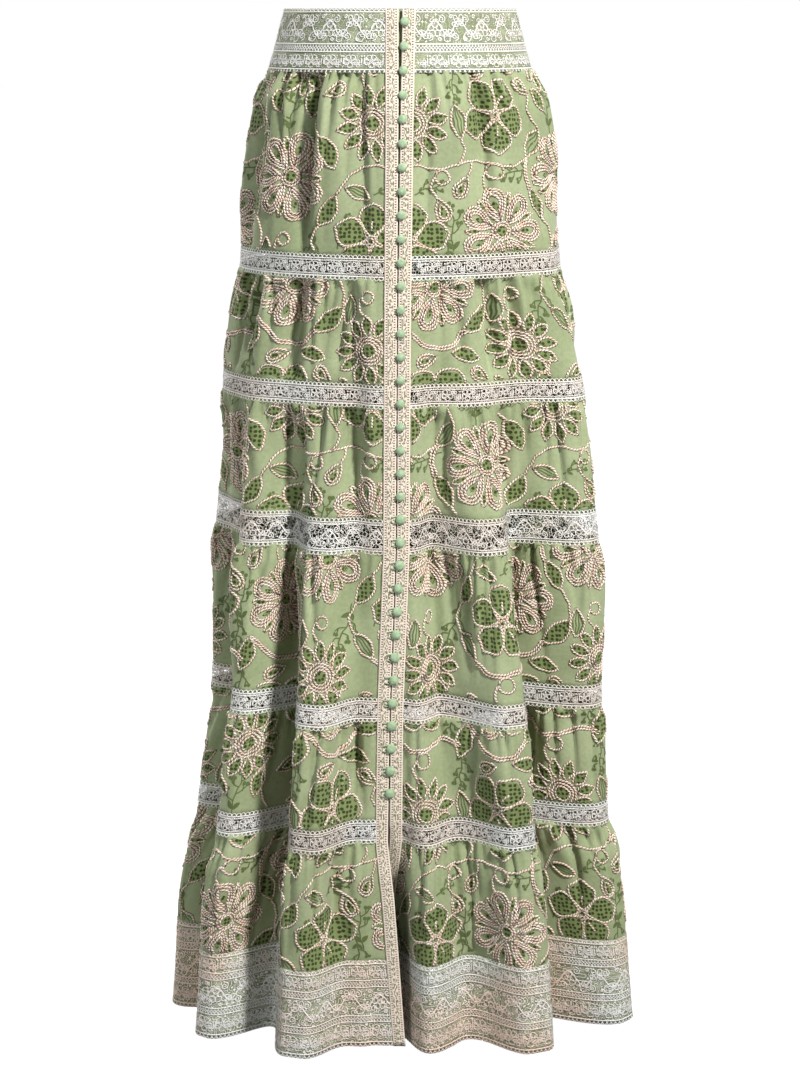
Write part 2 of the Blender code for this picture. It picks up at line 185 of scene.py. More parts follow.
# Soft creases listed for each tier: the turn at the top, how many degrees it leans by its
# end, where it starts and ends as shares of the tier, its half width, and its height (below zero
# is a trough)
CREASE = "turn lean start end half_width height"
CREASE_ENDS = 0.6
CREASES = (
    table(
        CREASE,
        (36, 1, -0.05, 1.03, 0.013, -0.021), (66, 4, -0.05, 1.03, 0.011, -0.012),
        (326, -1, -0.05, 1, 0.01, -0.011), (14, -2, 0.02, 0.95, 0.007, -0.007),
        (27, 2, 0.05, 0.7, 0.01, 0.0056), (60, 3, 0.15, 0.8, 0.009, -0.006),
        (86, -4, 0.05, 0.9, 0.011, 0.0056), (118, 3, 0, 0.85, 0.009, -0.0079),
        (150, -3, 0.1, 1, 0.01, -0.007), (181, 2, 0, 0.75, 0.008, 0.0052),
        (214, 4, 0.05, 0.95, 0.01, -0.0079), (247, -2, 0.2, 1, 0.009, -0.006),
        (276, 3, 0, 0.7, 0.01, 0.0056), (301, -3, 0.05, 1, 0.009, -0.0084),
        (338, 1, 0.1, 0.65, 0.009, 0.0049), (349, 1, 0, 0.9, 0.006, -0.0065),
    ),
    table(
        CREASE,
        (36, 0, -0.05, 1.03, 0.013, -0.021), (329, 0, -0.03, 1.03, 0.01, -0.012),
        (18, 2, 0, 0.9, 0.008, -0.01), (58, 3, 0, 0.8, 0.008, -0.0107),
        (101, -3, 0.05, 1, 0.01, -0.0088), (139, 2, 0, 0.85, 0.009, 0.0056),
        (172, -2, 0.1, 0.95, 0.008, -0.0095), (229, 3, 0, 0.9, 0.01, -0.01),
        (268, -2, 0.05, 0.8, 0.009, 0.0052), (316, 2, 0, 1, 0.008, -0.0107),
        (340, -1, 0.05, 0.75, 0.007, -0.0088),
    ),
    table(
        CREASE,
        (38, 0, -0.05, 1.03, 0.012, -0.016), (12, 1, 0, 0.8, 0.007, -0.0088),
        (31, 2, 0.05, 1, 0.009, -0.0107), (49, -2, 0, 0.7, 0.008, 0.0056),
        (78, 2, 0.1, 0.95, 0.01, -0.0095), (126, -3, 0, 0.85, 0.009, -0.0107),
        (163, 2, 0.05, 1, 0.008, 0.0052), (203, 3, 0, 0.8, 0.01, -0.01),
        (254, -2, 0.1, 1, 0.009, -0.0095), (290, 2, 0, 0.9, 0.008, 0.0056),
        (325, -2, 0, 0.95, 0.008, -0.0113), (346, 1, 0.05, 0.85, 0.006, -0.0081),
    ),
    table(
        CREASE,
        (15, 1, 0, 0.75, 0.008, -0.0095), (33, 2, 0.05, 0.9, 0.01, -0.0119),
        (52, -1, 0, 1, 0.009, 0.006), (94, -3, 0.1, 0.85, 0.011, -0.0107),
        (133, 2, 0, 0.95, 0.01, -0.0095), (176, -2, 0.05, 0.8, 0.009, 0.006),
        (219, 3, 0, 1, 0.01, -0.0113), (262, -2, 0.15, 0.9, 0.01, -0.0095),
        (299, 2, 0, 0.8, 0.009, 0.0064), (320, 1, 0.05, 1, 0.01, -0.0119),
        (344, -1, 0, 0.85, 0.008, -0.0095),
    ),
    table(
        CREASE,
        (11, 1, 0, 0.9, 0.008, -0.0095), (29, 1, 0.05, 1, 0.01, -0.0113),
        (47, -1, 0, 0.8, 0.01, 0.0064), (83, 2, 0.05, 0.95, 0.011, -0.0107),
        (112, -2, 0, 0.85, 0.009, 0.0056), (147, 2, 0.1, 1, 0.01, -0.0107),
        (197, -2, 0, 0.75, 0.01, -0.01), (236, 2, 0.05, 0.9, 0.009, 0.006),
        (283, -1, 0, 1, 0.011, -0.0113), (317, 1, 0.05, 0.85, 0.009, -0.0107),
        (339, -1, 0, 0.9, 0.009, 0.0056),
    ),
    table(
        CREASE,
        (13, 1, 0, 0.95, 0.009, -0.0107), (30, -1, 0, 0.75, 0.011, -0.0126),
        (41, 1, 0.05, 1, 0.01, 0.0068), (66, 2, 0, 0.85, 0.01, -0.0113),
        (98, -2, 0.1, 0.95, 0.012, -0.0107), (129, 1, 0, 0.8, 0.01, 0.0064),
        (168, 2, 0.05, 1, 0.011, -0.0119), (208, -2, 0, 0.9, 0.01, -0.01),
        (251, 1, 0.05, 0.75, 0.011, 0.0064), (294, -1, 0, 1, 0.01, -0.0119),
        (322, 1, 0, 0.85, 0.01, -0.0113), (345, -1, 0.05, 0.95, 0.009, 0.0056),
    ),
)

# Embroidery: widths, heights and spacing of its cords, and how far patches stand off the cloth
CORD_WIDTH = 0.0031
CORD_HEIGHT = 0.0015
CORD_STEP = 0.0031
CORD_TWIST = 0.0033
CORDS_APART = 0.55
WAVER = 0.00045
WAVER_LENGTHS = (0.013, 0.017)
WAVER_PHASE = 40
WAVER_SHIFT = 1.7
ALMOND_SWELL = 0.85
TEAR_SWELL = 0.65
TIP_SPREAD = 0.3
PRINT_WIDTH = 0.0013
FILL_LIFT = 0.00055
FILL_RING = 0.0036
FILL_PITCH = 0.0046
PRINT_LIFT = 0.00025
THREAD_LIFT = 0.00055

# One repeat of the embroidery, and each tier's own window on it
TILE_SCALE = 0.80
TILE_WIDTH = 0.345 * TILE_SCALE
TILE_HEIGHT = 0.290 * TILE_SCALE
TIER_SHIFTS = (
    (0.020, 0.000), (0.110, 0.150), (0.205, 0.045),
    (0.060, 0.100), (0.165, 0.190), (0.245, 0.070),
)
MOTIFS = table(
    "kind along drop size turn",
    ("daisy", 0.058, 0.062, 0.047, 10), ("loops", 0.173, 0.130, 0.056, 0),
    ("five", 0.288, 0.052, 0.045, 20), ("five", 0.058, 0.207, 0.043, 50),
    ("daisy", 0.173, 0.275, 0.045, 35), ("loops", 0.288, 0.197, 0.054, 25),
    ("leaf", 0.116, 0.098, 0.046, 118), ("veined", 0.228, 0.090, 0.044, 52),
    ("leaf", 0.114, 0.170, 0.044, 60), ("veined", 0.113, 0.243, 0.040, 130),
    ("leaf", 0.232, 0.164, 0.042, 120), ("leaf", 0.231, 0.238, 0.048, 40),
    ("veined", 0.345, 0.060, 0.042, 100), ("leaf", 0.342, 0.262, 0.046, 75),
    ("bud", 0.112, 0.022, 0.030, 200), ("bud", 0.233, 0.020, 0.028, 320),
    ("bud", 0.340, 0.140, 0.030, 60), ("curl", 0.020, 0.128, 0.009, 0),
    ("curl", 0.292, 0.122, 0.010, 0), ("curl", 0.176, 0.208, 0.008, 0),
    ("curl", 0.060, 0.284, 0.010, 0), ("bud", 0.020, 0.168, 0.030, 110),
    ("leaf", 0.150, 0.036, 0.040, 260), ("leaf", 0.202, 0.036, 0.034, 300),
    ("veined", 0.205, 0.226, 0.038, 85), ("leaf", 0.250, 0.284, 0.036, 165),
    ("bud", 0.300, 0.288, 0.028, 20), ("veined", 0.076, 0.148, 0.034, 155),
    ("sprig", 0.036, 0.142, 0.040, 200), ("sprig", 0.352, 0.195, 0.066, 275),
    ("sprig", 0.139, 0.219, 0.062, 75), ("sprig", 0.012, 0.236, 0.050, 95),
    ("sprig", 0.178, 0.046, 0.070, 265), ("sprig", 0.346, 0.010, 0.054, 90),
    ("sprig", 0.262, 0.122, 0.054, 15), ("sprig", 0.092, 0.196, 0.044, 250),
)
# Vines: how many cords lie side by side, and the knots of their curve
VINES = (
    (1, ((0.000, 0.112), (0.028, 0.118), (0.056, 0.113), (0.084, 0.124), (0.103, 0.151))),
    (1, ((0.125, 0.189), (0.134, 0.208), (0.126, 0.228))),
    (2, ((0.100, 0.258), (0.080, 0.272), (0.050, 0.270), (0.020, 0.262), (0.000, 0.270))),
    (1, ((0.140, 0.000), (0.146, 0.025), (0.142, 0.055), (0.127, 0.078))),
    (1, ((0.222, 0.029), (0.228, 0.045), (0.222, 0.060), (0.2145, 0.073))),
    (2, ((0.2415, 0.107), (0.247, 0.125), (0.2425, 0.146))),
    (1, ((0.2215, 0.182), (0.213, 0.200), (0.2126, 0.2226))),
    (2, ((0.249, 0.253), (0.268, 0.272), (0.300, 0.270), (0.322, 0.252), (0.336, 0.240))),
    (1, ((0.345, 0.112), (0.326, 0.108), (0.300, 0.112), (0.270, 0.117), (0.2415, 0.107))),
    (1, ((0.341, 0.081), (0.336, 0.096), (0.345, 0.112))),
    (1, ((0.326, 0.108), (0.327, 0.118), (0.3325, 0.127))),
)


def linear(red, green, blue):
    """Linear colour of a screen colour given from 0 to 255."""
    shares = np.array([red, green, blue]) / 255
    low = shares / 12.92
    high = ((shares + 0.055) / 1.055) ** 2.4
    return (*np.where(shares <= 0.04045, low, high).tolist(), 1.0)


COTTON_LIGHT = linear(170, 180, 142)
COTTON_DEEP = linear(140, 152, 112)
CORD_PEACH = linear(238, 212, 192)
CORD_PALE = linear(252, 236, 220)
# Painted shade: dark brown for the cord's grooves, and painted shadow along its sides
CORD_PAINTED_SHADE = linear(76, 50, 34)
FILL_GREEN = linear(126, 140, 90)
FILL_DOT = linear(60, 68, 34)
PRINT_OLIVE = linear(84, 98, 50)
THREAD_WHITE = linear(254, 253, 250)
THREAD_PEACH = linear(248, 236, 226)
HEM_PEACH = linear(255, 229, 212)
NET_GREY = linear(150, 150, 142)
# Painted shade under the backed lace, laid on its ground in soft patches
UNDER_LACE_SHADE = linear(78, 90, 54)
STRIP_PEACH = linear(246, 230, 214)
STRIP_GREEN = linear(134, 132, 108)
# Painted shade seen in the open bars of the front strips
STRIP_HOLE_SHADE = linear(78, 72, 54)
BUTTON_MINT = linear(178, 200, 168)
LOOP_GREEN = linear(146, 174, 136)


def ease(value):
    """Smooth step from 0 to 1."""
    value = np.clip(value, 0.0, 1.0)
    return value * value * (3 - 2 * value)


def unit(vectors):
    """Vectors brought to a length of one."""
    return vectors / np.maximum(np.linalg.norm(vectors, axis=-1), 1e-9)[..., None]


def quarter_turn(vectors):
    """Flat vectors turned by a quarter: out of the body, for those that run along it."""
    return np.stack([-vectors[..., 1], vectors[..., 0]], -1)


def run_along(points):
    """Distance from the first point of a path, or of each of several."""
    gaps = np.linalg.norm(np.diff(points, axis=-2), axis=-1)
    return np.concatenate([np.zeros((*gaps.shape[:-1], 1)), np.cumsum(gaps, -1)], -1)


def with_last(points, value):
    """Points with one more coordinate, the same for all."""
    return np.column_stack([points, np.full(len(points), value)])


def section_at(drop):
    """Half width, front depth and back depth, by a monotone cubic through the sections."""
    drops, *columns = np.array(SECTIONS).T
    at = int(np.clip(np.searchsorted(drops, drop) - 1, 0, len(drops) - 2))
    span = np.diff(drops)
    sizes = []
    for size in columns:
        rate = np.diff(size) / span
        slope = np.zeros(len(drops))
        both = rate[:-1] * rate[1:] > 0
        slope[1:-1][both] = 2 * (rate[:-1] * rate[1:])[both] / (rate[:-1] + rate[1:])[both]
        slope[0] = rate[0]
        slope[-1] = rate[-1]
        t = (drop - drops[at]) / span[at]
        value = (2 * t**3 - 3 * t**2 + 1) * size[at] + (3 * t**2 - 2 * t**3) * size[at + 1]
        value += (t**3 - 2 * t**2 + t) * span[at] * slope[at] + (t**3 - t**2) * span[at] * slope[at + 1]
        sizes.append(value)
    return sizes


def plan_curve(drop):
    """Turns and close-set points of the outer face at one drop, left front edge to right."""
    half_width, front, back = section_at(drop)
    drops, *edges = np.array(OPENINGS).T
    left, right = [np.interp(drop, drops, edge) for edge in edges]
    first = -math.degrees(math.asin(left / half_width))
    last = 360 - math.degrees(math.asin(right / half_width))
    turn = np.linspace(first, last, CURVE_POINTS)
    angle = np.radians(turn)
    depth = np.where(np.cos(angle) > 0, front, back)
    place = np.stack([-half_width * np.sin(angle), -depth * np.cos(angle)], 1)
    along = unit(np.stack([-half_width * np.cos(angle), depth * np.sin(angle)], 1))
    out = np.zeros(CURVE_POINTS)
    lean = np.zeros(CURVE_POINTS)
    down = 1 - (1 - np.clip(drop / LENGTH, 0, 1)) ** DRIFT
    for fold in FOLDS:
        crest = fold.turn_top + (fold.turn_hem - fold.turn_top) * down
        away = (turn - crest + 180) % 360 - 180
        side = np.clip((np.abs(away) - fold.flat) / (fold.spread - fold.flat), 0, 1)
        bell = 0.5 + 0.5 * np.cos(np.pi * side)
        grown = ease((drop - fold.begins) / (fold.full - fold.begins))
        out += fold.out * grown * bell
        lean += fold.lean * grown * bell
    tuck = ease((drop - TUCK_FROM) / TUCK_OVER) * ease(1 - (last - turn) / TUCK_TURN)
    out -= TUCK_DEPTH * tuck
    return turn, place + quarter_turn(along) * out[:, None] + along * lean[:, None]


class Level:
    """One level of the skirt's outer face, read by distance from the left front edge."""

    def __init__(self, drop):
        self.drop = drop
        self.turn, self.curve = plan_curve(drop)
        self.run = run_along(self.curve)
        self.girth = self.run[-1]
        self.outward = quarter_turn(unit(np.gradient(self.curve, axis=0)))

    def read(self, distance):
        """Points and outward directions at distances from the left front edge."""
        found = []
        for grid in (self.curve, self.outward):
            found.append(np.stack([np.interp(distance, self.run, grid[:, k]) for k in (0, 1)], -1))
        return found[0], unit(found[1])


def gather_wave(band, level, distance, steps):
    """How far the solids' own gathers push the wall out."""
    below = level.drop - band.top
    rise = ease(below / GATHER_PEAK)
    fallen = ease(1 - (below - GATHER_PEAK) / (GATHER_END - GATHER_PEAK))
    fall = GATHER_LEFT + (1 - GATHER_LEFT) * fallen
    left_over = ease((band.bottom - level.drop) / GATHER_PEAK)
    near_edge = np.minimum(distance, level.girth - distance) - STRIP_WIDTH
    clear = ease(near_edge / GATHER_CLEAR)
    swing = np.sin(2 * np.pi * GATHER_SWINGS * steps + GATHER_SWING_SHIFT * band.top)
    uneven = GATHER_MEAN + GATHER_SWING * swing
    depth = GATHER_DEPTH * rise * fall * left_over * clear * uneven
    return depth * np.cos(2 * np.pi * GATHERS * steps)


def solid_columns():
    """Shares and turns of the columns of the solids."""
    level = Level(COLUMNS_EVEN_AT)
    steps = np.linspace(0, 1, GATHERS * GATHER_COLUMNS + 1)
    uneven = steps
    for swing, count in COLUMN_WAVES:
        uneven = uneven + swing * np.sin(2 * np.pi * count * steps)
    distance = STRIP_WIDTH + uneven * (level.girth - 2 * STRIP_WIDTH)
    return steps, np.interp(distance, level.run, level.turn)


SOLID_STEPS, SOLID_TURNS = solid_columns()


def columns_at(level, turns):
    """Distances of columns at a level, with the lace strips' own columns at both ends."""
    distance = np.interp(turns, level.turn, level.run)
    first = STRIP_WIDTH - distance[0]
    last = level.girth - STRIP_WIDTH - distance[-1]
    near_first = ease(1 - (distance - distance[0]) / COLUMN_SHIFT)
    near_last = ease(1 - (distance[-1] - distance) / COLUMN_SHIFT)
    distance = distance + first * near_first + last * near_last
    strip = STRIP_SHARES * STRIP_WIDTH
    return np.concatenate([strip, distance, level.girth - strip[::-1]])


def panel_turns(level, wider):
    """Turns of a panel's columns, closer in front than behind."""
    behind = np.cos(np.radians(level.turn)) < BACK_FROM
    pitch = np.where(behind, BACK_PITCH, FRONT_PITCH) * wider
    count = np.concatenate([[0], np.cumsum(np.diff(level.run) / pitch[1:])])
    inside = (level.run >= STRIP_WIDTH) & (level.run <= level.girth - STRIP_WIDTH)
    count = count[inside]
    wanted = np.linspace(count[0], count[-1], int(count[-1] - count[0]) + 1)
    return np.interp(wanted, count, level.turn[inside])


class Panel:
    """Face of one band of cloth as a grid of points, read by place on the cloth."""

    def __init__(self, band, drops, relief=None, wider=1.0, lift=0.0):
        middle = Level((band.top + band.bottom) / 2)
        turns = panel_turns(middle, wider)
        padded = np.pad(turns, len(STRIP_SHARES), "edge")
        self.band = band
        self.along = columns_at(middle, turns)
        self.down = np.array(drops)
        self.girth = middle.girth
        rows = []
        for drop in drops:
            level = Level(drop)
            distance = columns_at(level, turns)
            place, outward = level.read(distance)
            height = np.full(len(distance), lift)
            if relief is not None:
                height = height + relief(level, distance, padded, self.along)
            rows.append(with_last(place + outward * height[:, None], -drop))
        self.points = np.array(rows)
        across = np.gradient(self.points, axis=1)
        down = np.gradient(self.points, axis=0)
        self.normals = unit(np.cross(across, down))

    def at(self, places, lift):
        """Points on the face at places on the cloth, raised by a lift."""
        column = np.interp(places[..., 0], self.along, np.arange(len(self.along)))
        row = np.interp(places[..., 1], self.down, np.arange(len(self.down)))
        left = np.minimum(column.astype(int), len(self.along) - 2)
        above = np.minimum(row.astype(int), len(self.down) - 2)
        u = (column - left)[..., None]
        v = (row - above)[..., None]
        mixed = []
        for grid in (self.points, self.normals):
            upper = grid[above, left] * (1 - u) + grid[above, left + 1] * u
            lower = grid[above + 1, left] * (1 - u) + grid[above + 1, left + 1] * u
            mixed.append(upper * (1 - v) + lower * v)
        return mixed[0] + mixed[1] * lift


def row_drops(top, bottom, close_until):
    """Drops of a panel's rows, close together down to one drop and wider below it."""
    close = np.arange(top, close_until, ROW_CLOSE)
    count = max(2, round((bottom - close_until) / ROW_WIDE) + 1)
    return np.concatenate([close, np.linspace(max(close_until, top), bottom, count)])


def trough(away):
    """Form of a trough from 0 to 1, steep on one side and gentle on the other."""
    return np.exp(-(np.abs(away / np.where(away < 0, STEEP_SIDE, GENTLE_SIDE)) ** FINE_EDGE))


def tier_relief(band, number):
    """Function that gives how far gathers, small gathers and creases raise a tier's cloth."""
    draw = np.random.default_rng(SEED + number)
    seam = band.top - SEAM_REACH
    girth = Level((band.top + band.bottom) / 2).girth
    starts = np.cumsum(draw.uniform(*GATHER_SPACING, int(girth / GATHER_SPACING[0])))
    starts = starts[starts < girth]
    size = len(starts)
    large = draw.uniform(0, 1, size) ** FEW_LARGE
    ranges = (FINE_DEPTH, FINE_HALF_WIDTH, FINE_LENGTH)
    depth, half_width, length = [low + (high - low) * large for low, high in ranges]
    lean = draw.uniform(*FINE_LEAN, size)
    facing = np.where(draw.uniform(0, 1, size) < STEEP_LEFT, 1, -1)

    def relief(level, distance, turns, along):
        steps = np.interp(turns, SOLID_TURNS, SOLID_STEPS)
        raised = gather_wave(band, level, distance, steps)
        below = level.drop - seam
        clear = ease((np.minimum(distance, level.girth - distance) - STRIP_WIDTH) / FINE_CLEAR)
        share = np.clip(below / length, 0, 1)
        flattened = ease((band.bottom - level.drop) / GATHER_PEAK)
        strength = depth * ease(below / FINE_RISE) * (1 - share) * flattened
        away = facing * (along[:, None] - starts - lean * below) / half_width
        sunk = (trough(away) * strength).sum(1)
        raised = raised + (FINE_PUFF * sunk.mean() - sunk) * clear
        height = (level.drop - band.top) / (band.bottom - band.top)
        for crease in CREASES[number - 1]:
            part = (height - crease.start) / (crease.end - crease.start)
            if not 0 < part < 1:
                continue
            crest = crease.turn + crease.lean * part
            off = (turns - crest) / 360 * level.girth / crease.half_width
            form = trough(off) if crease.height < 0 else np.exp(-off * off)
            fade = math.sin(math.pi * part) ** CREASE_ENDS
            raised = raised + crease.height * form * fade * clear
        return raised

    return relief


def grid_faces(rows, across):
    """Corner numbers of the four-sided faces of a grid."""
    at = np.arange(rows * across).reshape(rows, across)
    return np.stack([at[:-1, :-1], at[:-1, 1:], at[1:, 1:], at[1:, :-1]], -1).reshape(-1, 4)


def add(name, data):
    """New object in the scene."""
    thing = bpy.data.objects.new(name, data)
    bpy.context.scene.collection.objects.link(thing)
    return thing


def new_piece(name, points, faces, material, fields):
    """Mesh object on the body, from points and lists of faces with 3 or 4 corners each."""
    mesh = bpy.data.meshes.new(name)
    corners = np.concatenate([f.ravel() for f in faces]).astype(np.int32)
    sides = np.concatenate([np.full(len(f), f.shape[1]) for f in faces])
    starts = np.concatenate([[0], np.cumsum(sides)[:-1]]).astype(np.int32)
    mesh.vertices.add(len(points))
    mesh.vertices.foreach_set("co", np.asarray(points, np.float32).ravel())
    mesh.loops.add(len(corners))
    mesh.loops.foreach_set("vertex_index", corners)
    mesh.polygons.add(len(starts))
    mesh.polygons.foreach_set("loop_start", starts)
    mesh.update(calc_edges=True)
    mesh.validate()
    mesh.shade_smooth()
    for field, values in fields.items():
        values = np.asarray(values, np.float32)
        if values.ndim == 2:
            made = mesh.attributes.new(field, "FLOAT_VECTOR", "POINT")
            made.data.foreach_set("vector", with_last(values, 0).astype(np.float32).ravel())
        else:
            made = mesh.attributes.new(field, "FLOAT", "POINT")
            made.data.foreach_set("value", values)
    mesh.materials.append(material)
    piece = add(name, mesh)
    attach(piece, "root")
    return piece


def shell(name, outer, inner, fields, material):
    """Closed thin piece between two grids of points, whose fields are the same on both."""
    rows, across = outer.shape[:2]
    face = grid_faces(rows, across)
    at = np.arange(rows * across).reshape(rows, across)
    under = at + at.size
    sides = [face, face[:, ::-1] + at.size]
    rims = (
        (at[0], under[0]),
        (under[-1], at[-1]),
        (under[:, 0], at[:, 0]),
        (at[:, -1], under[:, -1]),
    )
    for near, far in rims:
        sides.append(np.stack([near[:-1], far[:-1], far[1:], near[1:]], -1))
    points = np.vstack([outer.reshape(-1, 3), inner.reshape(-1, 3)])
    doubled = {field: np.concatenate([values, values]) for field, values in fields.items()}
    return new_piece(name, points, sides, material, doubled)


def panel_shell(name, panel, wall, material):
    """Closed thin shell with a panel's face outside."""
    along, down = [grid.ravel() for grid in np.meshgrid(panel.along, panel.down)]
    fields = {
        "cut": np.column_stack([along, down]),
        "from_top": down - panel.band.top,
        "from_bottom": panel.band.bottom - down,
    }
    return shell(name, panel.points, panel.points - panel.normals * wall, fields, material)


class Layer:
    """Strands and patches laid on a panel and kept as one mesh."""

    def __init__(self, panel):
        self.panel = panel
        self.points = []
        self.fields = []
        self.faces = []
        self.count = 0

    def keep(self, points, along, around, cut):
        """Adds points and returns their numbers."""
        shape = points.shape[:-1]
        cut = np.broadcast_to(cut, (*shape, 2))
        along = np.broadcast_to(along, shape)[..., None]
        around = np.broadcast_to(around, shape)[..., None]
        self.points.append(points.reshape(-1, 3))
        self.fields.append(np.concatenate([along, around, cut], -1).reshape(-1, 4))
        numbers = self.count + np.arange(math.prod(shape)).reshape(shape)
        self.count += numbers.size
        return numbers

    def strands(self, paths, width, height, lift, closed):
        """Strands along paths, an array of strands by points by 2. No height gives flat ones."""
        paths = np.asarray(paths, float)
        if paths.ndim == 2:
            paths = paths[None]
        if closed:
            tangent = np.roll(paths, -1, 1) - np.roll(paths, 1, 1)
        else:
            tangent = np.gradient(paths, axis=1)
        side = quarter_turn(unit(tangent)) * width / 2
        lines = [self.panel.at(paths + side, lift), self.panel.at(paths - side, lift)]
        if height:
            lines.insert(1, self.panel.at(paths, lift + height))
        around = np.linspace(0, 1, len(lines))
        run = run_along(paths)[..., None]
        at = self.keep(np.stack(lines, 2), run, around, paths[:, :, None, :])
        after = np.roll(at, -1, 1)
        here = at if closed else at[:, :-1]
        after = after if closed else after[:, :-1]
        for a in range(len(lines) if height else 1):
            b = (a + 1) % len(lines)
            face = np.stack([here[..., a], here[..., b], after[..., b], after[..., a]], -1)
            self.faces.append(face.reshape(-1, 4))
        if height and not closed:
            self.faces += [at[:, 0][:, [0, 2, 1]], at[:, -1]]

    def patch(self, outline, lift):
        """Flat patch with a closed outline, laid on the cloth."""
        middle = outline.mean(0)
        reach = np.linalg.norm(outline - middle, axis=1).max()
        rings = max(1, round(reach / FILL_RING))
        shares = np.linspace(1, 0, rings + 1)[:-1]
        places = middle + (outline - middle) * shares[:, None, None]
        at = self.keep(self.panel.at(places, lift), 0.0, 0.5, places)
        centre = self.keep(self.panel.at(middle[None], lift), 0.0, 0.5, middle[None])[0]
        after = np.roll(at, -1, 1)
        if signed_area(outline) < 0:
            at, after = after, at
        for k in range(rings - 1):
            self.faces.append(np.stack([at[k], after[k], after[k + 1], at[k + 1]], -1))
        self.faces.append(with_last(np.stack([at[-1], after[-1]], -1), centre))

    def piece(self, name, material, slot):
        """The layer as one object."""
        along, around, *cut = np.vstack(self.fields).T
        fields = {"along": along, "around": around, "cut": np.column_stack(cut)}
        return new_piece(name, np.vstack(self.points), self.faces, material, fields)


def signed_area(outline):
    """Area of a closed outline, below zero where it runs the other way."""
    after = np.roll(outline, -1, 0)
    return 0.5 * np.sum(outline[:, 0] * after[:, 1] - after[:, 0] * outline[:, 1])


def evenly(path, step, closed=False):
    """Points evenly spaced along a path."""
    if closed:
        path = np.vstack([path, path[:1]])
    run = run_along(path)
    wanted = np.linspace(0, run[-1], max(3, round(run[-1] / step)) + 1)
    even = np.column_stack([np.interp(wanted, run, path[:, k]) for k in (0, 1)])
    return even[:-1] if closed else even


def hand_laid(path, closed):
    """Path with the slight waver of a cord laid by hand."""
    count = np.arange(len(path))
    run = count * CORD_STEP
    phase = WAVER_PHASE * path[0].sum()
    fade = np.sin(np.pi * count / len(path)) ** 0.5 if closed else np.ones(len(path))
    angles = [2 * np.pi * run / length for length in WAVER_LENGTHS]
    sideways = WAVER * fade * np.sin(angles[0] + phase)
    upright = WAVER * fade * np.sin(angles[1] + WAVER_SHIFT * phase)
    return path + np.column_stack([sideways, upright])


def smooth_curve(knots, per_span=8):
    """Smooth curve through knots."""
    knots = np.asarray(knots, float)
    padded = np.vstack([2 * knots[0] - knots[1], knots, 2 * knots[-1] - knots[-2]])
    curve = []
    for k in range(1, len(padded) - 2):
        a, b, c, d = padded[k - 1 : k + 3]
        for t in np.linspace(0, 1, per_span, endpoint=False):
            second = (2 * a - 5 * b + 4 * c - d) * t**2
            third = (3 * b - a - 3 * c + d) * t**3
            curve.append(0.5 * (2 * b + (c - a) * t + second + third))
    curve.append(knots[-1])
    return np.array(curve)


def turned(points, degrees, move=(0.0, 0.0)):
    """Points turned about the origin, then moved."""
    angle = math.radians(degrees)
    spin = np.array([[math.cos(angle), math.sin(angle)], [-math.sin(angle), math.cos(angle)]])
    return np.asarray(points) @ spin + np.array(move)


def on_circle(angle):
    """Points of a circle of one metre at angles."""
    return np.column_stack([np.cos(angle), np.sin(angle)])


def circle(radius, points=18):
    return radius * on_circle(np.linspace(0, 2 * np.pi, points, endpoint=False))


def almond(start, end, width, bend=0.0, points=9):
    """Closed outline pointed at both ends, along the first axis."""
    share = np.linspace(0, 1, points)
    x = start + (end - start) * share
    swell = np.sin(np.pi * share) ** ALMOND_SWELL * width / 2
    middle = bend * np.sin(np.pi * share)
    upper = np.column_stack([x, middle + swell])
    lower = np.column_stack([x, middle - swell])[::-1]
    return np.vstack([upper, lower[1:-1]])


def teardrop(start, end, width, points=20, tip=0.0):
    """Closed outline pointed at its start and round at its end, or with a small tip there."""
    t = np.linspace(0, 2 * np.pi, points, endpoint=False)
    peak = tip * np.exp(-(((t - np.pi) / TIP_SPREAD) ** 2))
    x = start + (end - start) * ((1 - np.cos(t)) / 2 + peak)
    y = TEAR_SWELL * width * np.sin(t) * np.sin(t / 2)
    return np.column_stack([x, y])


# Strokes of the motifs, each drawn at a size of one
Stroke = namedtuple("Stroke", "kind points closed")


def fill(points):
    return Stroke("fill", points, True)


def cord(points, closed=True):
    return Stroke("cord", points, closed)


def printed(points):
    return Stroke("print", points, False)


def dot(points):
    return Stroke("dot", points, True)


def ringed(count, start, *strokes):
    """Strokes repeated round the middle, from a starting angle."""
    spins = [start + 360 / count * k for k in range(count)]
    return [s._replace(points=turned(s.points, spin)) for spin in spins for s in strokes]


def veins(count, spread):
    """Printed veins of a leaf, side by side."""
    x = np.linspace(-0.42, 0.40, 8)
    for share in np.linspace(-spread, spread, count):
        yield printed(np.column_stack([x, (1 - (x / 0.5) ** 2) * (share * 1.4 + 0.05)]))


def sprig():
    """Printed stem with forked twigs, dots at their tips, two leaves and a dotted flower."""
    stem = smooth_curve([(-0.5, 0.0), (-0.1, 0.04), (0.2, -0.03), (0.46, 0.03)], 5)
    yield printed(stem)
    for k in range(5):
        yield dot(circle(0.042, 6) + turned((0.074, 0), 72 * k, stem[-1]))
    twigs = ((0.28, 1, 0.26), (0.40, -1, 0.22), (0.56, 1, 0.20), (0.70, -1, 0.20), (0.84, 1, 0.14))
    for share, side, reach in twigs:
        root = stem[int(share * (len(stem) - 1))]
        tip = root + np.array([0.8, 0.9 * side]) * reach
        bow = root + np.array([0.22, 0.55 * side]) * reach
        fork = bow + np.array([0.60, 0.05 * side]) * reach
        yield printed(smooth_curve([root, bow, tip], 4))
        yield printed(np.array([bow, fork]))
        for end in (tip, fork):
            yield dot(circle(0.044, 6) + end)
    for side, reach in ((1, 0.22), (-1, 0.18)):
        yield dot(turned(almond(0, reach, 0.09, 0.02, 6), 38 * side, (-0.34, 0.0)))


